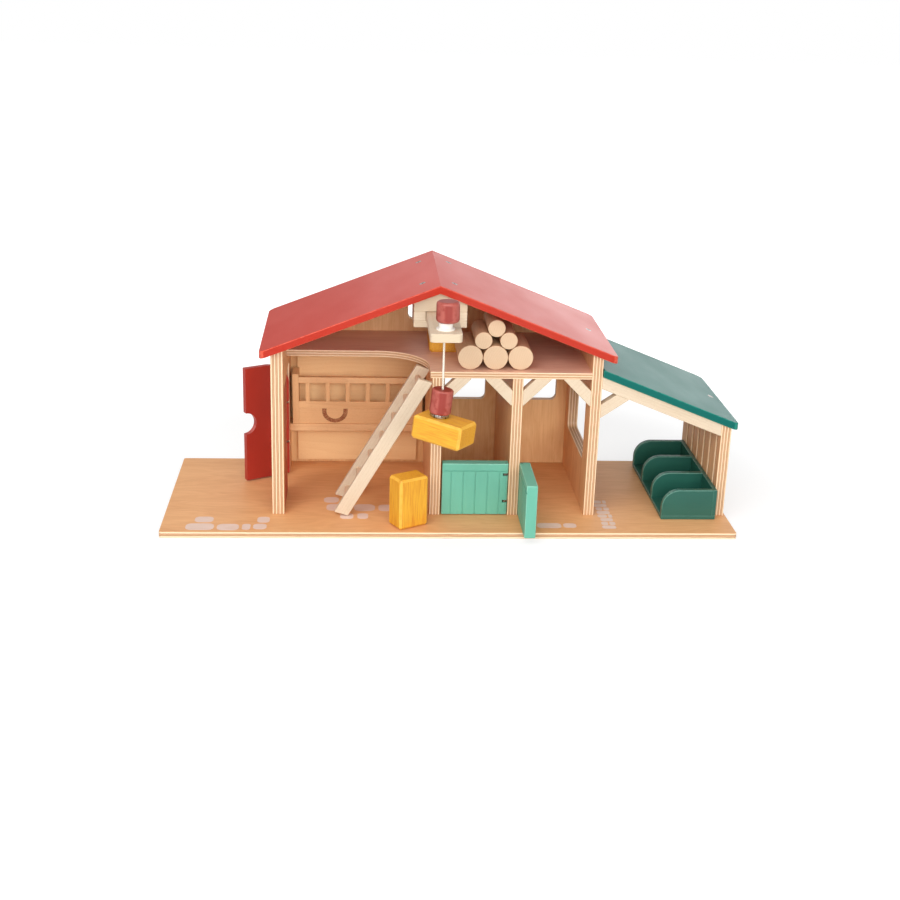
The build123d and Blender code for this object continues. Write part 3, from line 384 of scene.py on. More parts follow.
@dataclass(frozen=True)
class Wood:
    """Bare solid wood, sanded, with end grain on its ends."""

    light: Colour
    dark: Colour
    end: Colour
    ring: float = 2.6
    heart: tuple[float, float] = (-41.0, -23.0)
    sway: float = 9.0
    contrast: float = 0.55
    speckle: float = 0.35
    roughness: float = 0.55

    def material(self, name: str, lay: Lay, seed: float = 0.0) -> bpy.types.Material:
        """Make the material.

        Args:
            name: Its name.
            lay: How the piece lies.
            seed: Moves to another part of the tree.

        Returns:
            The material.
        """
        tree = Tree(name, lay)
        x, y, _ = tree.parts(tree.point)
        sway = tree.noise((30, 30, 160), detail=1.0, shift=seed) * self.sway
        radius = ((x - self.heart[0] + seed) ** 2 + (y - self.heart[1]) ** 2) ** 0.5 + sway
        rings = ((radius / self.ring) % 1.0) ** 2.5
        streaks = tree.streaks(0.9, 26, seed + 5)
        pores = tree.noise((0.35, 0.35, 2.2), detail=1.0, shift=seed + 9).rise(0.56, 0.72)
        broad = tree.noise((16, 16, 70), detail=1.0, shift=seed + 2)
        tone = rings * (0.45 * self.contrast) + (streaks - 0.5) * self.contrast + (broad - 0.5) * 0.5
        tone = (tone + pores * self.speckle + 0.2).held()
        colour = tree.mix(tone, self.light, self.dark)
        along = abs(tree.parts(tree.normal)[2]).rise(0.75, 0.92)
        dots = tree.noise((0.4, 0.4, 0.4), detail=1.0, shift=seed + 3)
        cut = tree.mix((dots - 0.35) * 0.5 + rings * 0.15, self.end, self.dark)
        colour = tree.mix(along, colour, cut)
        height = streaks * 0.6 + rings * 0.2 - pores * 0.5
        return tree.surface(colour, streaks * 0.2 + (self.roughness - 0.1), height, 0.06)


@dataclass(frozen=True)
class Plywood:
    """A plywood panel: veneer on its faces and striped plies on its edges."""

    light: Colour
    dark: Colour
    pale_ply: Colour
    dark_ply: Colour
    glue: Colour
    plies: int = 7
    wobble: float = 0.35
    glue_line: tuple[float, float] = (0.07, 0.19)
    roughness: float = 0.5

    def material(self, name: str, lay: Lay, thickness: float, seed: float = 0.0) -> bpy.types.Material:
        """Make the material.

        Args:
            name: Its name.
            lay: How the panel lies, with its origin in the panel's mid-thickness.
            thickness: The panel's thickness in millimetres.
            seed: Moves to another part of the veneer.

        Returns:
            The material.
        """
        tree = Tree(name, lay)
        _, through, _ = tree.parts(tree.point)
        broad = tree.noise((26, 26, 110), detail=2.0, distortion=0.4, shift=seed)
        waves = abs((broad * 9) % 1.0 - 0.5) * 2
        streaks = tree.streaks(1.4, 34, seed + 4)
        flecks = tree.noise((0.5, 0.5, 5), detail=1.0, shift=seed + 8).rise(0.6, 0.75)
        tone = (broad - 0.5) * 0.9 + waves * 0.24 + (streaks - 0.5) * 0.9 + flecks * 0.2 + 0.3
        face = tree.mix(tone.held(), self.light, self.dark)
        wobble = (tree.noise((14, 14, 14), detail=1.0, shift=seed + 1) - 0.5) * self.wobble
        level = (through / thickness + 0.5) * self.plies + wobble
        odd = level.math("FLOOR") % 2.0
        fibre = tree.noise((0.45, 0.45, 6), detail=2.0, shift=seed + 6)
        ply = tree.mix(odd * 0.8 + (fibre - 0.5) * 0.5, self.pale_ply, self.dark_ply)
        line = 1 - abs((level + 0.5) % 1.0 - 0.5).rise(*self.glue_line)
        inner = 1 - abs(through / (thickness / 2)).rise(0.86, 0.94)
        ply = tree.mix(line * inner * 0.8, ply, self.glue)
        colour = tree.mix(tree.broad_face(), ply, face)
        height = streaks * 0.5 - flecks * 0.4
        return tree.surface(colour, streaks * 0.2 + (self.roughness - 0.1), height, 0.05)


@dataclass(frozen=True)
class Paint:
    """Satin paint over sanded wood, whose grain shows faintly and whose rounded edges are painted lighter:
    partly wear, partly a painted highlight.
    """

    colour: Colour
    deep: Colour
    # edge: lighter colour of the rounded edges, partly wear and partly a painted highlight
    edge: Colour
    roughness: float = 0.42
    relief: float = 0.05
    streak: float = 0.3
    base: float = 0.4
    gloss: float = 0.5
    furrow: float = 0.0
    rim: float = 0.0

    def material(self, name: str, lay: Lay, seed: float = 0.0) -> bpy.types.Material:
        """Make the material.

        Args:
            name: Its name.
            lay: How the piece lies.
            seed: Moves to another part of the pattern.

        Returns:
            The material.
        """
        tree = Tree(name, lay)
        streaks = tree.streaks(1.0, 22, seed)
        broad = tree.noise((35, 35, 60), detail=2.0, shift=seed + 3)
        orange = tree.noise((0.8, 0.8, 0.8), detail=1.0, shift=seed + 7)
        tone = (streaks - 0.5) * self.streak + (broad - 0.5) * 0.7 + self.base
        colour = tree.mix(tone.held(), self.colour, self.deep)
        if self.rim:
            shade = tuple(part * RIM_SHADE for part in self.deep)
            colour = tree.mix((1 - tree.broad_face()) * self.rim, colour, shade)
        # rounded edges are painted lighter in patches, partly as wear and partly as a painted highlight
        # where the edges catch the light
        wear_and_highlight = tree.noise((5, 5, 5), detail=2.0, shift=seed + 1).rise(0.2, 0.6)
        colour = tree.mix(edge_mask(tree) * wear_and_highlight * 0.75, colour, self.edge)
        height = streaks * 0.8 + orange * 0.25
        if self.furrow:
            height = height + tree.noise((2.6, 2.6, 120), detail=1.0, shift=seed + 4) * self.furrow
        return tree.surface(colour, broad * 0.12 + (self.roughness - 0.06), height, self.relief,
                            Specular_IOR_Level=self.gloss)


@dataclass(frozen=True)
class Metal:
    """Plated or bare steel with fine scratches."""

    colour: Colour
    tarnish: Colour
    roughness: float = 0.3

    def material(self, name: str) -> bpy.types.Material:
        """Make the material.

        Args:
            name: Its name.

        Returns:
            The material.
        """
        tree = Tree(name, UPRIGHT)
        scratches = tree.noise((0.15, 0.15, 4))
        spots = tree.noise((1.5, 1.5, 1.5), detail=3.0, shift=2.0)
        colour = tree.mix(spots.rise(0.45, 0.7), self.colour, self.tarnish)
        return tree.surface(colour, scratches * 0.3 + (self.roughness - 0.15), scratches, 0.01, Metallic=1.0)


@dataclass(frozen=True)
class Plastic:
    """Moulded plastic with a soft sheen."""

    colour: Colour
    shade: Colour
    roughness: float = 0.35

    def material(self, name: str) -> bpy.types.Material:
        """Make the material.

        Args:
            name: Its name.

        Returns:
            The material.
        """
        tree = Tree(name, UPRIGHT)
        cloud = tree.noise((6, 6, 6))
        grain = tree.noise((0.3, 0.3, 0.3), detail=1.0)
        colour = tree.mix(cloud * 0.6, self.colour, self.shade)
        return tree.surface(colour, cloud * 0.1 + (self.roughness - 0.05), grain, 0.01)


@dataclass(frozen=True)
class Braid:
    """A braided cotton cord that hangs upright."""

    colour: Colour
    shade: Colour
    strands: int = 4
    lead: float = 5.0

    def material(self, name: str, middle: Triple) -> bpy.types.Material:
        """Make the material.

        Args:
            name: Its name.
            middle: A point on the cord's axis, in millimetres.

        Returns:
            The material.
        """
        tree = Tree(name, Lay(origin=middle))
        x, y, z = tree.parts(tree.point)
        around = y.math("ARCTAN2", x) * self.strands
        climb = z * (math.tau * self.strands / self.lead / 2)
        left = ((around + climb).math("SINE") + 1) * 0.5
        right = ((around - climb).math("SINE") + 1) * 0.5
        weave = left.math("MAXIMUM", right)
        fuzz = tree.noise((0.12, 0.12, 0.8), detail=1.0)
        colour = tree.mix(1 - weave * (fuzz * 0.5 + 0.6), self.colour, self.shade)
        return tree.surface(colour, 0.85, weave * 0.8 + fuzz * 0.2, 0.12, Sheen_Weight=0.3)


@dataclass(frozen=True)
class Ink:
    """Ink printed on wood, thin enough for the grain to show through."""

    colour: Colour
    under: Colour
    cover: float = 0.8
    stipple: float = 0.0

    def material(self, name: str, lay: Lay, seed: float = 0.0) -> bpy.types.Material:
        """Make the material.

        Args:
            name: Its name.
            lay: How the printed face lies.
            seed: Moves to another part of the pattern.

        Returns:
            The material.
        """
        tree = Tree(name, lay)
        streaks = tree.streaks(1.2, 22, seed)
        cloud = tree.noise((9, 9, 14), detail=3.0, shift=seed + 3)
        bare = (1 - self.cover) + (streaks - 0.5) * 0.45 + (cloud - 0.5) * 0.5
        if self.stipple:
            dots = tree.noise((0.9, 0.9, 0.9), detail=1.0, shift=seed + 5)
            bare = bare + dots.rise(0.48, 0.6) * self.stipple
        colour = tree.mix(bare.held(), self.colour, self.under)
        return tree.surface(colour, streaks * 0.2 + 0.45, streaks, 0.03)


PLY_EDGE = {"pale_ply": paint(244, 214, 176), "dark_ply": paint(196, 142, 98), "glue": paint(128, 74, 44)}


class Board(Enum):
    """Plywood as each part of the barn uses it."""

    BASE = Plywood(paint(238, 182, 126), paint(212, 150, 98), plies=3, **PLY_EDGE)
    WALL = Plywood(paint(244, 194, 144), paint(208, 148, 100), plies=7, **PLY_EDGE)
    # The back wall's veneer is made lighter than the wall veneer: painted light for the shaded inside of the
    # barn.
    BACK = Plywood(paint(252, 208, 150), paint(222, 166, 108), plies=5, **PLY_EDGE)
    # The loft's pinkish veneer is lightened and greyed: partly its own colour, partly painted light and a
    # painted sheen for its shaded top.
    LOFT = Plywood(paint(246, 202, 174), paint(218, 166, 140), plies=5, **PLY_EDGE)


class Timber(Enum):
    """Bare wood, by where it is used."""

    PALE = Wood(paint(221, 203, 178), paint(197, 170, 138), paint(211, 192, 164), contrast=0.45)
    LOG = Wood(paint(218, 181, 144), paint(188, 142, 104), paint(217, 188, 154), ring=1.9, speckle=0.3)
    RACK = Wood(paint(238, 192, 140), paint(210, 154, 104), paint(242, 206, 158), contrast=0.5)
    # Lighter copy of the rack wood: painted light for the rack's back board, which sits in shade under the
    # loft.
    RACK_BACK_LIT = Wood(paint(254, 214, 158), paint(236, 188, 132), paint(252, 218, 168), contrast=0.45)
    RUNG = Wood(paint(230, 202, 170), paint(206, 170, 136), paint(236, 206, 166), ring=1.5)


class Coat(Enum):
    """Painted finishes."""

    RED_ROOF = Paint(paint(212, 58, 32), paint(194, 46, 24), paint(230, 100, 76), roughness=0.34, gloss=0.3,
                     rim=0.8)
    GREEN_ROOF = Paint(paint(12, 115, 105), paint(8, 98, 90), paint(46, 148, 130), roughness=0.4, gloss=0.16,
                       rim=0.5)
    DOOR = Paint(paint(182, 56, 42), paint(162, 42, 32), paint(206, 112, 104), roughness=0.45)
    GATE = Paint(paint(112, 186, 162), paint(88, 166, 142), paint(146, 206, 184), roughness=0.45)
    # The pen's much lighter edge colour is mostly a painted highlight on its rounded edges.
    PEN = Paint(paint(40, 100, 86), paint(26, 80, 68), paint(92, 142, 126), roughness=0.36)
    BALE = Paint(paint(232, 172, 46), paint(202, 116, 20), paint(238, 184, 72), roughness=0.5, relief=0.14,
                 furrow=1.4, streak=2.4, base=0.28)
    CRIMSON = Paint(paint(154, 54, 42), paint(134, 40, 32), paint(184, 98, 86), roughness=0.42, streak=0.5)


class Trim(Enum):
    """The crane's bushing and its cord."""

    BUSHING = Plastic(paint(246, 242, 234), paint(222, 214, 202))
    CORD = Braid(paint(246, 240, 226), paint(196, 182, 158))


class Print(Enum):
    """Inks printed on bare wood."""

    HORSESHOE = Ink(paint(136, 74, 42), paint(222, 166, 118), cover=0.95, stipple=0.45)
    STONE = Ink(paint(232, 208, 196), paint(206, 160, 122), cover=0.78)


class Hardware(Enum):
    """Metal finishes."""

    MAGNET = Metal(paint(190, 188, 184), paint(52, 50, 50), roughness=0.28)
    HINGE = Metal(paint(150, 138, 124), paint(92, 80, 70), roughness=0.4)
    SCREW = Metal(paint(184, 174, 166), paint(112, 102, 96), roughness=0.36)


def dress(nodes: dict[str, bpy.types.Object], name: str, material: bpy.types.Material) -> None:
    """Give a CAD node its material.

    Args:
        nodes: The frame's nodes.
        name: The node.
        material: The material.
    """
    data = nodes[name].data
    if not data.materials:
        data.materials.append(material)
    for index in range(len(data.materials)):
        data.materials[index] = material
    log.info("%s dressed in %s", name, material.name)


def start_clean() -> None:
    """Leave edit mode and deselect everything."""
    if bpy.context.object and bpy.context.object.mode != "OBJECT":
        bpy.ops.object.mode_set(mode="OBJECT")
    bpy.ops.object.select_all(action="DESELECT")


def settle(piece: bpy.types.Object, name: str, material: bpy.types.Material, body: str) -> None:
    """Name a finished piece, put its place into its mesh, dress it and tie it to a body.

    Args:
        piece: The piece.
        name: Its name.
        material: Its material.
        body: The body it rides on.
    """
    start_clean()
    piece.select_set(True)
    bpy.context.view_layer.objects.active = piece
    bpy.ops.object.transform_apply(location=True, rotation=True, scale=True)
    piece.name = name
    piece.data.materials.clear()
    piece.data.materials.append(material)
    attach(piece, body)
    log.info("%s made", name)


def thicken(height: float) -> None:
    """Give the flat mesh in edit mode a height, with its faces outwards, and leave edit mode.

    Args:
        height: The height in millimetres.
    """
    bpy.ops.mesh.extrude_region_move(TRANSFORM_OT_translate={"value": (0, 0, height * MM)})
    bpy.ops.mesh.select_all(action="SELECT")
    bpy.ops.mesh.normals_make_consistent(inside=False)
    bpy.ops.object.mode_set(mode="OBJECT")


def middle_of(name: str) -> Vector:
    """Find the middle of a CAD node's box, in millimetres.

    Args:
        name: The node.

    Returns:
        Its middle.
    """
    low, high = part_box(name)
    return (low + high) / 2 / MM


def join(pieces: list[bpy.types.Object]) -> bpy.types.Object:
    """Join objects into one.

    Args:
        pieces: The objects.

    Returns:
        The first of them, which holds them all.
    """
    start_clean()
    for piece in pieces:
        piece.select_set(True)
    bpy.context.view_layer.objects.active = pieces[0]
    bpy.ops.object.join()
    return pieces[0]


@dataclass
class Shell:
    """Base board, walls, loft and braces."""

    nodes: dict[str, bpy.types.Object]
    base: float = BOARD_TOP
    wall: float = 10.3
    door_wall: float = 11.7
    back: float = 7.6
    loft: float = 6.4

    def dress(self) -> None:
        """Dress every board in plywood, each cut from another part of the sheet."""
        lay = Lay(LEVEL.grain, LEVEL.face, (0, 0, self.base / 2))
        dress(self.nodes, "base_board", Board.BASE.value.material("base_plywood", lay, self.base))
        walls = (("left_wall", self.door_wall), ("left_divider", self.wall), ("middle_divider", self.wall),
                 ("right_wall", self.wall), ("lean_to_wall", self.wall))
        for index, (name, thickness) in enumerate(walls):
            self.dress_wall(name, thickness, index * 17.0)
        lay = Lay(UPRIGHT.grain, UPRIGHT.face, (0, middle_of("back_wall").y, 0))
        dress(self.nodes, "back_wall", Board.BACK.value.material("back_plywood", lay, self.back, seed=31))
        lay = Lay(LEVEL.grain, LEVEL.face, (0, 0, middle_of("loft_floor").z))
        dress(self.nodes, "loft_floor", Board.LOFT.value.material("loft_plywood", lay, self.loft, seed=47))
        braces = Timber.PALE.value.material("brace_wood", Lay((1, 0, 1), (0, 1, 0)), seed=3)
        dress(self.nodes, "stall_braces", braces)

    def dress_wall(self, name: str, thickness: float, seed: float) -> None:
        """Dress one upright panel whose plies run across the front.

        Args:
            name: The node.
            thickness: The panel's thickness.
            seed: Moves to another part of the veneer.
        """
        lay = Lay(SIDEWAYS.grain, SIDEWAYS.face, (middle_of(name).x, 0, 0))
        dress(self.nodes, name, Board.WALL.value.material(f"{name}_plywood", lay, thickness, seed))


@dataclass
class Roofs:
    """Both slopes of the barn roof, the lean-to roof and their screws."""

    nodes: dict[str, bpy.types.Object]
    pitch: float = PITCH

    def dress(self) -> None:
        """Paint the roofs, with their grain along the ridge."""
        for name, side, coat in (("red_roof_left", -1, Coat.RED_ROOF), ("red_roof_right", 1, Coat.RED_ROOF),
                                 ("lean_to_roof", 1, Coat.GREEN_ROOF)):
            face = (side * math.sin(self.pitch), 0, math.cos(self.pitch))
            material = coat.value.material(f"{name}_paint", Lay((0, 1, 0), face), side * 13.0)
            dress(self.nodes, name, material)
        dress(self.nodes, "roof_screws", Hardware.SCREW.value.material("screw_steel"))


@dataclass
class LeanTo:
    """The beam and brace at the lean-to's front."""

    nodes: dict[str, bpy.types.Object]
    pitch: float = PITCH
    brace_angle: float = math.radians(35)

    def dress(self) -> None:
        """Dress both in pale wood, with the grain along each."""
        beam = Lay((math.cos(self.pitch), 0, -math.sin(self.pitch)), (0, 1, 0))
        brace = Lay((math.cos(self.brace_angle), 0, math.sin(self.brace_angle)), (0, 1, 0))
        dress(self.nodes, "lean_to_beam", Timber.PALE.value.material("beam_wood", beam, seed=21))
        dress(self.nodes, "lean_to_brace", Timber.PALE.value.material("lean_brace_wood", brace, seed=8))


@dataclass
class SideDoors:
    """The two leaves of the side door and their hinges."""

    nodes: dict[str, bpy.types.Object]
    open_angle: float = math.radians(60)

    def dress(self) -> None:
        """Paint the leaves and plate the hinges."""
        turned = (math.cos(self.open_angle), -math.sin(self.open_angle), 0)
        for name, face, seed in (("front_door", (1, 0, 0), 4), ("rear_door", turned, 14)):
            dress(self.nodes, name, Coat.DOOR.value.material(f"{name}_paint", Lay(face=face), seed))
        steel = Hardware.HINGE.value.material("door_hinge_steel")
        for name in ("door_hinge_eyes", "front_door_pin", "rear_door_pin"):
            dress(self.nodes, name, steel)


@dataclass
class StallGates:
    """The two stall gates and their hinges."""

    nodes: dict[str, bpy.types.Object]

    def dress(self) -> None:
        """Paint the gates and plate the hinges."""
        for name, face, seed in (("left_gate", (0, 1, 0), 6), ("right_gate", (1, 0, 0), 26)):
            dress(self.nodes, name, Coat.GATE.value.material(f"{name}_paint", Lay(face=face), seed))
        steel = Hardware.HINGE.value.material("gate_hinge_steel")
        for name in ("gate_hinge_eyes", "left_gate_pin", "right_gate_pin"):
            dress(self.nodes, name, steel)


@dataclass
class Crane:
    """The ridge beam, the sliding arm, its cord and its load."""

    nodes: dict[str, bpy.types.Object]
    middle: float = -13.9
    depth: float = -18.0
    cord_top: float = 213.79
    cord_length: float = 65.1
    cord_diameter: float = 2.0
    cord_spans: int = 4
    tilt: float = math.radians(6)
    turn: float = math.radians(33)

    def dress(self) -> None:
        """Dress the crane's wood, knob, weight and magnet."""
        for name, seed in (("ridge_beam", 5), ("crane_spacers", 12), ("crane_board", 19), ("crane_arm", 28)):
            lay = DEEP if name in ("ridge_beam", "crane_arm") else LEVEL
            dress(self.nodes, name, Timber.PALE.value.material(f"{name}_wood", lay, seed))
        dress(self.nodes, "crane_bushing", Trim.BUSHING.value.material("bushing"))
        dress(self.nodes, "lift_knob", Coat.CRIMSON.value.material("knob_paint", UPRIGHT, seed=2))
        slung = Matrix.Rotation(self.tilt, 3, "Y")
        weight = Lay(tuple(slung @ Vector((0, 0, 1))), tuple(slung @ Vector((0, 1, 0))))
        dress(self.nodes, "magnet_weight", Coat.CRIMSON.value.material("weight_paint", weight, seed=16))
        steel = Hardware.MAGNET.value.material("magnet_steel")
        for name in ("magnet", "strike_disc"):
            dress(self.nodes, name, steel)
        turned = slung @ Matrix.Rotation(-self.turn, 3, "Z")
        bale = Lay(tuple(turned @ Vector((1, 0, 0))), tuple(turned @ Vector((0, 1, 0))))
        dress(self.nodes, "hoisted_bale", Coat.BALE.value.material("hoisted_bale_paint", bale, seed=9))

    def hang_cord(self) -> None:
        """Hang the cord from the knob to the weight."""
        start_clean()
        data = bpy.data.curves.new("cord", "CURVE")
        data.dimensions = "3D"
        spline = data.splines.new("NURBS")
        spline.points.add(self.cord_spans)
        for index, point in enumerate(spline.points):
            height = self.cord_top - self.cord_length * index / self.cord_spans
            point.co = (*on_board(self.middle, self.depth, height), 1.0)
        spline.order_u = 3
        spline.use_endpoint_u = True
        spline.resolution_u = 12
        data.bevel_depth = self.cord_diameter / 2 * MM
        data.bevel_resolution = 5
        cord = bpy.data.objects.new("braided_cord", data)
        bpy.context.scene.collection.objects.link(cord)
        middle = on_board(self.middle, self.depth, 0) / MM
        data.materials.append(Trim.CORD.value.material("braided_cotton", (middle.x, middle.y, 0)))
        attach(cord, "hoist_line")
        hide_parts("hoist_cord")
        start = on_board(self.middle, self.depth, self.cord_top)
        log.info("braided_cord made")


@dataclass
class LooseWood:
    """Bales, logs and the ladder."""

    nodes: dict[str, bpy.types.Object]
    bale_turn: float = math.radians(30)
    ladder_run: float = 80.4
    ladder_rise: float = 137.6

    def dress(self) -> None:
        """Dress each loose piece, with the grain along it."""
        turned = (-math.sin(self.bale_turn), math.cos(self.bale_turn), 0)
        bale = Coat.BALE.value
        dress(self.nodes, "floor_bale", bale.material("floor_bale_paint", Lay(face=turned), seed=33))
        dress(self.nodes, "loft_bale", bale.material("loft_bale_paint", DEEP, seed=44))
        for index, name in enumerate(sorted(n for n in self.nodes if n.startswith("log_"))):
            lay = Lay(DEEP.grain, DEEP.face, tuple(middle_of(name)))
            dress(self.nodes, name, Timber.LOG.value.material(f"{name}_wood", lay, index * 11.0))
        rail = Lay((self.ladder_run, 0, self.ladder_rise), (0, 1, 0))
        for name, seed in (("ladder_front_rail", 7), ("ladder_rear_rail", 37)):
            dress(self.nodes, name, Timber.PALE.value.material(f"{name}_wood", rail, seed))
        dress(self.nodes, "ladder_rungs", Timber.RUNG.value.material("rung_wood", DEEP, seed=23))


@dataclass
class HayRack:
    """The hay rack and the horseshoe printed on its board."""

    nodes: dict[str, bpy.types.Object]
    lean: float = math.radians(9)
    front: float = 164.95
    top: float = 105.2
    shoe_middle: float = -115.5
    shoe_height: float = 66.0
    shoe_radius: float = 11.2
    shoe_band: float = 4.6
    shoe_arm: float = 3.2
    shoe_facets: int = 24

    def dress(self) -> None:
        """Dress the rack in bare wood."""
        upright = ("rack_cheek_left", "rack_cheek_right", "rack_slats")
        for index, name in enumerate(sorted(n for n in self.nodes if n.startswith("rack_"))):
            lay = SIDEWAYS if name in upright else ACROSS
            # The rack's back board gets the lighter copy of the rack wood, as painted light for its shade
            # under the loft.
            timber = Timber.RACK_BACK_LIT if name == "rack_back" else Timber.RACK
            dress(self.nodes, name, timber.value.material(f"{name}_wood", lay, index * 9.0))

    def print_horseshoe(self) -> None:
        """Print a horseshoe on the rack's board: one straight arm, half a ring and the other arm."""
        start_clean()
        place = (self.shoe_radius * MM, self.shoe_arm / 2 * MM, 0)
        bpy.ops.mesh.primitive_plane_add(size=1, location=place)
        shoe = bpy.context.object
        shoe.scale = (self.shoe_band * MM, self.shoe_arm * MM, 1)
        bpy.ops.object.transform_apply(location=True, scale=True)
        bpy.ops.object.mode_set(mode="EDIT")
        bpy.ops.mesh.select_all(action="DESELECT")
        bpy.ops.object.mode_set(mode="OBJECT")
        for edge in shoe.data.edges:
            edge.select = all(shoe.data.vertices[v].co.y < self.shoe_arm / 2 * MM for v in edge.vertices)
        bpy.ops.object.mode_set(mode="EDIT")
        bpy.ops.mesh.spin(steps=self.shoe_facets, angle=math.pi, center=(0, 0, 0), axis=(0, 0, 1))
        bpy.ops.mesh.extrude_region_move(TRANSFORM_OT_translate={"value": (0, self.shoe_arm * MM, 0)})
        bpy.ops.mesh.select_all(action="SELECT")
        bpy.ops.mesh.remove_doubles(threshold=0.01 * MM)
        thicken(PRINT_HEIGHT)
        depth = self.front + (self.top - self.shoe_height) * math.tan(self.lean)
        shoe.rotation_euler = (math.pi / 2 + self.lean, 0, 0)
        shoe.location = on_board(self.shoe_middle, depth, self.shoe_height)
        ink = Print.HORSESHOE.value.material("horseshoe_ink", UPRIGHT)
        settle(shoe, "horseshoe_print", ink, "barn")


@dataclass
class FeedPen:
    """The feed pen in the lean-to."""

    nodes: dict[str, bpy.types.Object]

    def dress(self) -> None:
        """Paint the pen, with the grain along each board."""
        lays = {"pen_floor": DEEP, "pen_back": Lay((0, 1, 0), (1, 0, 0)), "pen_dividers": ACROSS}
        for index, (name, lay) in enumerate(lays.items()):
            dress(self.nodes, name, Coat.PEN.value.material(f"{name}_paint", lay, index * 15.0))


@dataclass
class Paving:
    """Paving stones printed on the base board, as (left, right, front, rear) in millimetres."""

    corner: float = 0.36
    corner_facets: int = 5
    yard: tuple[Outline, ...] = (
        (-256, -229, 5, 21), (-226, -205, 4.5, 20), (-202, -194, 6, 20), (-191.5, -178.5, 7, 20.5),
        (-188.5, -176.5, 23.5, 38), (-249, -231, 24, 38))
    threshold: tuple[Outline, ...] = (
        (-125, -110, 76, 91), (-107, -93, 77, 91), (-122, -107, 55, 72), (-104, -97, 55, 71),
        (-94.5, -73.5, 54, 72), (-70, -56, 54, 71), (-108, -95, 33.5, 48), (-91, -80.5, 34, 48))
    path: tuple[Outline, ...] = ((72, 83, 12, 24), (85, 109, 12, 24.5), (111, 124, 13, 24))
    brick_rows: int = 8
    brick_pitch: float = 9.4
    brick_front: float = 11.0
    brick_joint: float = 1.4
    brick_left: float = 149.2
    brick_right: float = 163.0
    left_stagger: float = 0.7
    right_stagger: float = 0.8
    split: float = 0.45
    split_stagger: float = 0.08

    def bricks(self) -> list[Outline]:
        """Narrow bricks beside the right wall, with every second row in two.

        Returns:
            The bricks' outlines.
        """
        found = []
        for row in range(self.brick_rows):
            front = self.brick_front + row * self.brick_pitch
            rear = front + self.brick_pitch - self.brick_joint
            left = self.brick_left + (row % 3) * self.left_stagger
            right = self.brick_right + (row % 2) * self.right_stagger
            middle = left + (right - left) * (self.split + self.split_stagger * (row % 4))
            if row % 2:
                found += [(left, middle - self.brick_joint / 2, front, rear),
                          (middle + self.brick_joint / 2, right, front, rear)]
            else:
                found.append((left, right, front, rear))
        return found

    def stone(self, outline: Outline) -> bpy.types.Object:
        """Lay one stone with rounded corners.

        Args:
            outline: Its left, right, front and rear.

        Returns:
            The stone.
        """
        left, right, front, rear = outline
        start_clean()
        place = on_board((left + right) / 2, (front + rear) / 2, 0)
        bpy.ops.mesh.primitive_plane_add(size=1, location=place)
        stone = bpy.context.object
        stone.scale = ((right - left) * MM, (rear - front) * MM, 1)
        bpy.ops.object.transform_apply(location=True, scale=True)
        bpy.ops.object.mode_set(mode="EDIT")
        bpy.ops.mesh.select_all(action="SELECT")
        radius = min(right - left, rear - front) * self.corner
        bpy.ops.mesh.bevel(offset=radius * MM, segments=self.corner_facets, affect="VERTICES")
        thicken(PRINT_HEIGHT)
        return stone

    def build(self) -> None:
        """Print every group of stones."""
        groups = {"yard_print": self.yard, "threshold_print": self.threshold, "path_print": self.path,
                  "brick_print": self.bricks()}
        for index, (name, outlines) in enumerate(groups.items()):
            piece = join([self.stone(outline) for outline in outlines])
            ink = Print.STONE.value.material(f"{name}_ink", LEVEL, index * 7.0)
            settle(piece, name, ink, "barn")


@dataclass(frozen=True)
class Lamp:
    """A soft light that faces the barn."""

    name: str
    place: Triple
    size: tuple[float, float]
    level: float
    aim: Triple = (0.0, 0.0, 0.1)

    def add(self) -> None:
        """Add the light, with the power that gives its level at the barn, where 1 shows white as white."""
        start_clean()
        bpy.ops.object.light_add(type="AREA", location=self.place)
        light = bpy.context.object
        light.name = self.name
        light.data.shape = "RECTANGLE"
        light.data.size, light.data.size_y = self.size
        beam = Vector(self.aim) - Vector(self.place)
        light.data.energy = self.level * math.pi ** 2 * beam.length_squared
        light.rotation_euler = beam.to_track_quat("-Z", "Y").to_euler()
        light.visible_camera = False


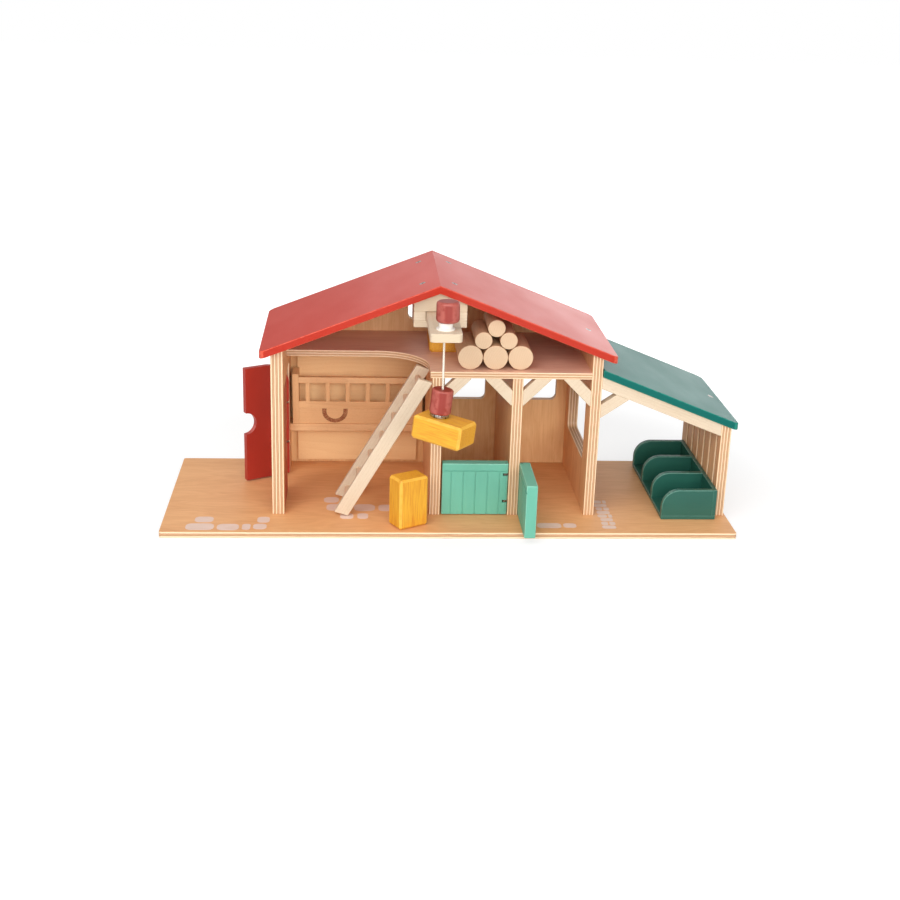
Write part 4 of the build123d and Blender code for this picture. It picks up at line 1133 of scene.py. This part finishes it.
@dataclass
class Studio:
    """Camera, lights, pale floor and background."""

    camera_place: Triple = (-0.09225, -1.3134, 0.52724)
    yaw: float = 0.0725
    pitch: float = 0.3449
    roll: float = 0.0314
    lens: float = 54.66
    sensor: float = 36.0
    nearest: float = 0.01
    ambient: float = 0.45
    floor_size: float = 14.0
    floor_drop: float = 0.0002
    floor_grey: float = 0.74
    least_glow: float = 0.5
    glow: float = 1.35
    shade_near: float = 330.0
    shade_far: float = 600.0
    lamps: tuple[Lamp, ...] = (
        Lamp("key", (-1.1, -1.8, 1.5), (1.4, 1.4), 0.42), Lamp("front", (0.4, -2.3, 0.8), (1.8, 0.9), 0.57),
        Lamp("top", (-0.3, -0.6, 2.4), (1.4, 1.4), 0.2), Lamp("backdrop", (1.2, 2.2, 0.22), (2.8, 0.4), 0.2),
        Lamp("rear", (-0.15, 2.2, 0.8), (0.7, 0.4), 0.016))

    def set_camera(self) -> None:
        """Place the camera, turned by its yaw, pitch and roll."""
        start_clean()
        level = math.cos(self.pitch)
        ahead = Vector((math.sin(self.yaw) * level, math.cos(self.yaw) * level, -math.sin(self.pitch)))
        right = Vector((math.cos(self.yaw), -math.sin(self.yaw), 0))
        up = right.cross(ahead)
        tilted = math.cos(self.roll) * right + math.sin(self.roll) * up
        top = math.cos(self.roll) * up - math.sin(self.roll) * right
        turn = Matrix((tilted, top, -ahead)).transposed().to_euler()
        bpy.ops.object.camera_add(location=self.camera_place, rotation=turn)
        camera = bpy.context.object
        camera.data.lens = self.lens
        camera.data.sensor_width = self.sensor
        camera.data.clip_start = self.nearest
        bpy.context.scene.camera = camera

    def set_world(self) -> None:
        """Light the scene evenly, in front of a white background."""
        world = bpy.data.worlds.new("studio")
        bpy.context.scene.world = world
        world.use_nodes = True
        nodes, links = world.node_tree.nodes, world.node_tree.links
        nodes.clear()
        path = nodes.new("ShaderNodeLightPath")
        seen = nodes.new("ShaderNodeMath")
        seen.operation = "MAXIMUM"
        links.new(path.outputs["Is Camera Ray"], seen.inputs[0])
        links.new(path.outputs["Is Transmission Ray"], seen.inputs[1])
        soft = nodes.new("ShaderNodeBackground")
        soft.inputs["Color"].default_value = (1, 1, 1, 1)
        soft.inputs["Strength"].default_value = self.ambient
        white = nodes.new("ShaderNodeBackground")
        white.inputs["Color"].default_value = (1, 1, 1, 1)
        choose = nodes.new("ShaderNodeMixShader")
        links.new(seen.outputs[0], choose.inputs[0])
        links.new(soft.outputs[0], choose.inputs[1])
        links.new(white.outputs[0], choose.inputs[2])
        output = nodes.new("ShaderNodeOutputWorld")
        links.new(choose.outputs[0], output.inputs["Surface"])

    def lay_floor(self) -> None:
        """Lay the pale floor, which keeps a faint shadow near the barn and is white far from it."""
        start_clean()
        bpy.ops.mesh.primitive_plane_add(size=self.floor_size, location=(0, 0, -self.floor_drop))
        floor = bpy.context.object
        floor.name = "floor"
        tree = Tree("pale_floor", UPRIGHT)
        grey = (self.floor_grey, self.floor_grey, self.floor_grey, 1)
        matt = tree.add("ShaderNodeBsdfDiffuse", None, {"Color": grey})
        glow = tree.add("ShaderNodeEmission", None, {"Color": (1, 1, 1, 1), "Strength": self.glow})
        seen = tree.add("ShaderNodeLightPath", output="Is Camera Ray")
        away = tree.vector("LENGTH", tree.point)
        share = away.rise(self.shade_near, self.shade_far) * (1 - self.least_glow) + self.least_glow
        tree.add_output(tree.add("ShaderNodeMixShader", None, {0: seen * share, 1: matt, 2: glow}))
        floor.data.materials.append(tree.material)

    def build(self) -> None:
        """Set up the whole studio."""
        self.set_camera()
        self.set_world()
        self.lay_floor()
        for lamp in self.lamps:
            lamp.add()
        bpy.context.scene.view_settings.view_transform = "Standard"


def main() -> None:
    """Load the frame, dress it, add what is printed and hung, and light it."""
    logging.basicConfig(level=logging.INFO, format="%(name)s: %(message)s")
    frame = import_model()
    nodes = frame["nodes"]
    Studio().build()
    crane = Crane(nodes)
    crane.hang_cord()
    crane.dress()
    for part in (Shell(nodes), Roofs(nodes), LeanTo(nodes), SideDoors(nodes), StallGates(nodes),
                 LooseWood(nodes), HayRack(nodes), FeedPen(nodes)):
        part.dress()
    HayRack(nodes).print_horseshoe()
    Paving().build()


if __name__ == "__main__":
    main()
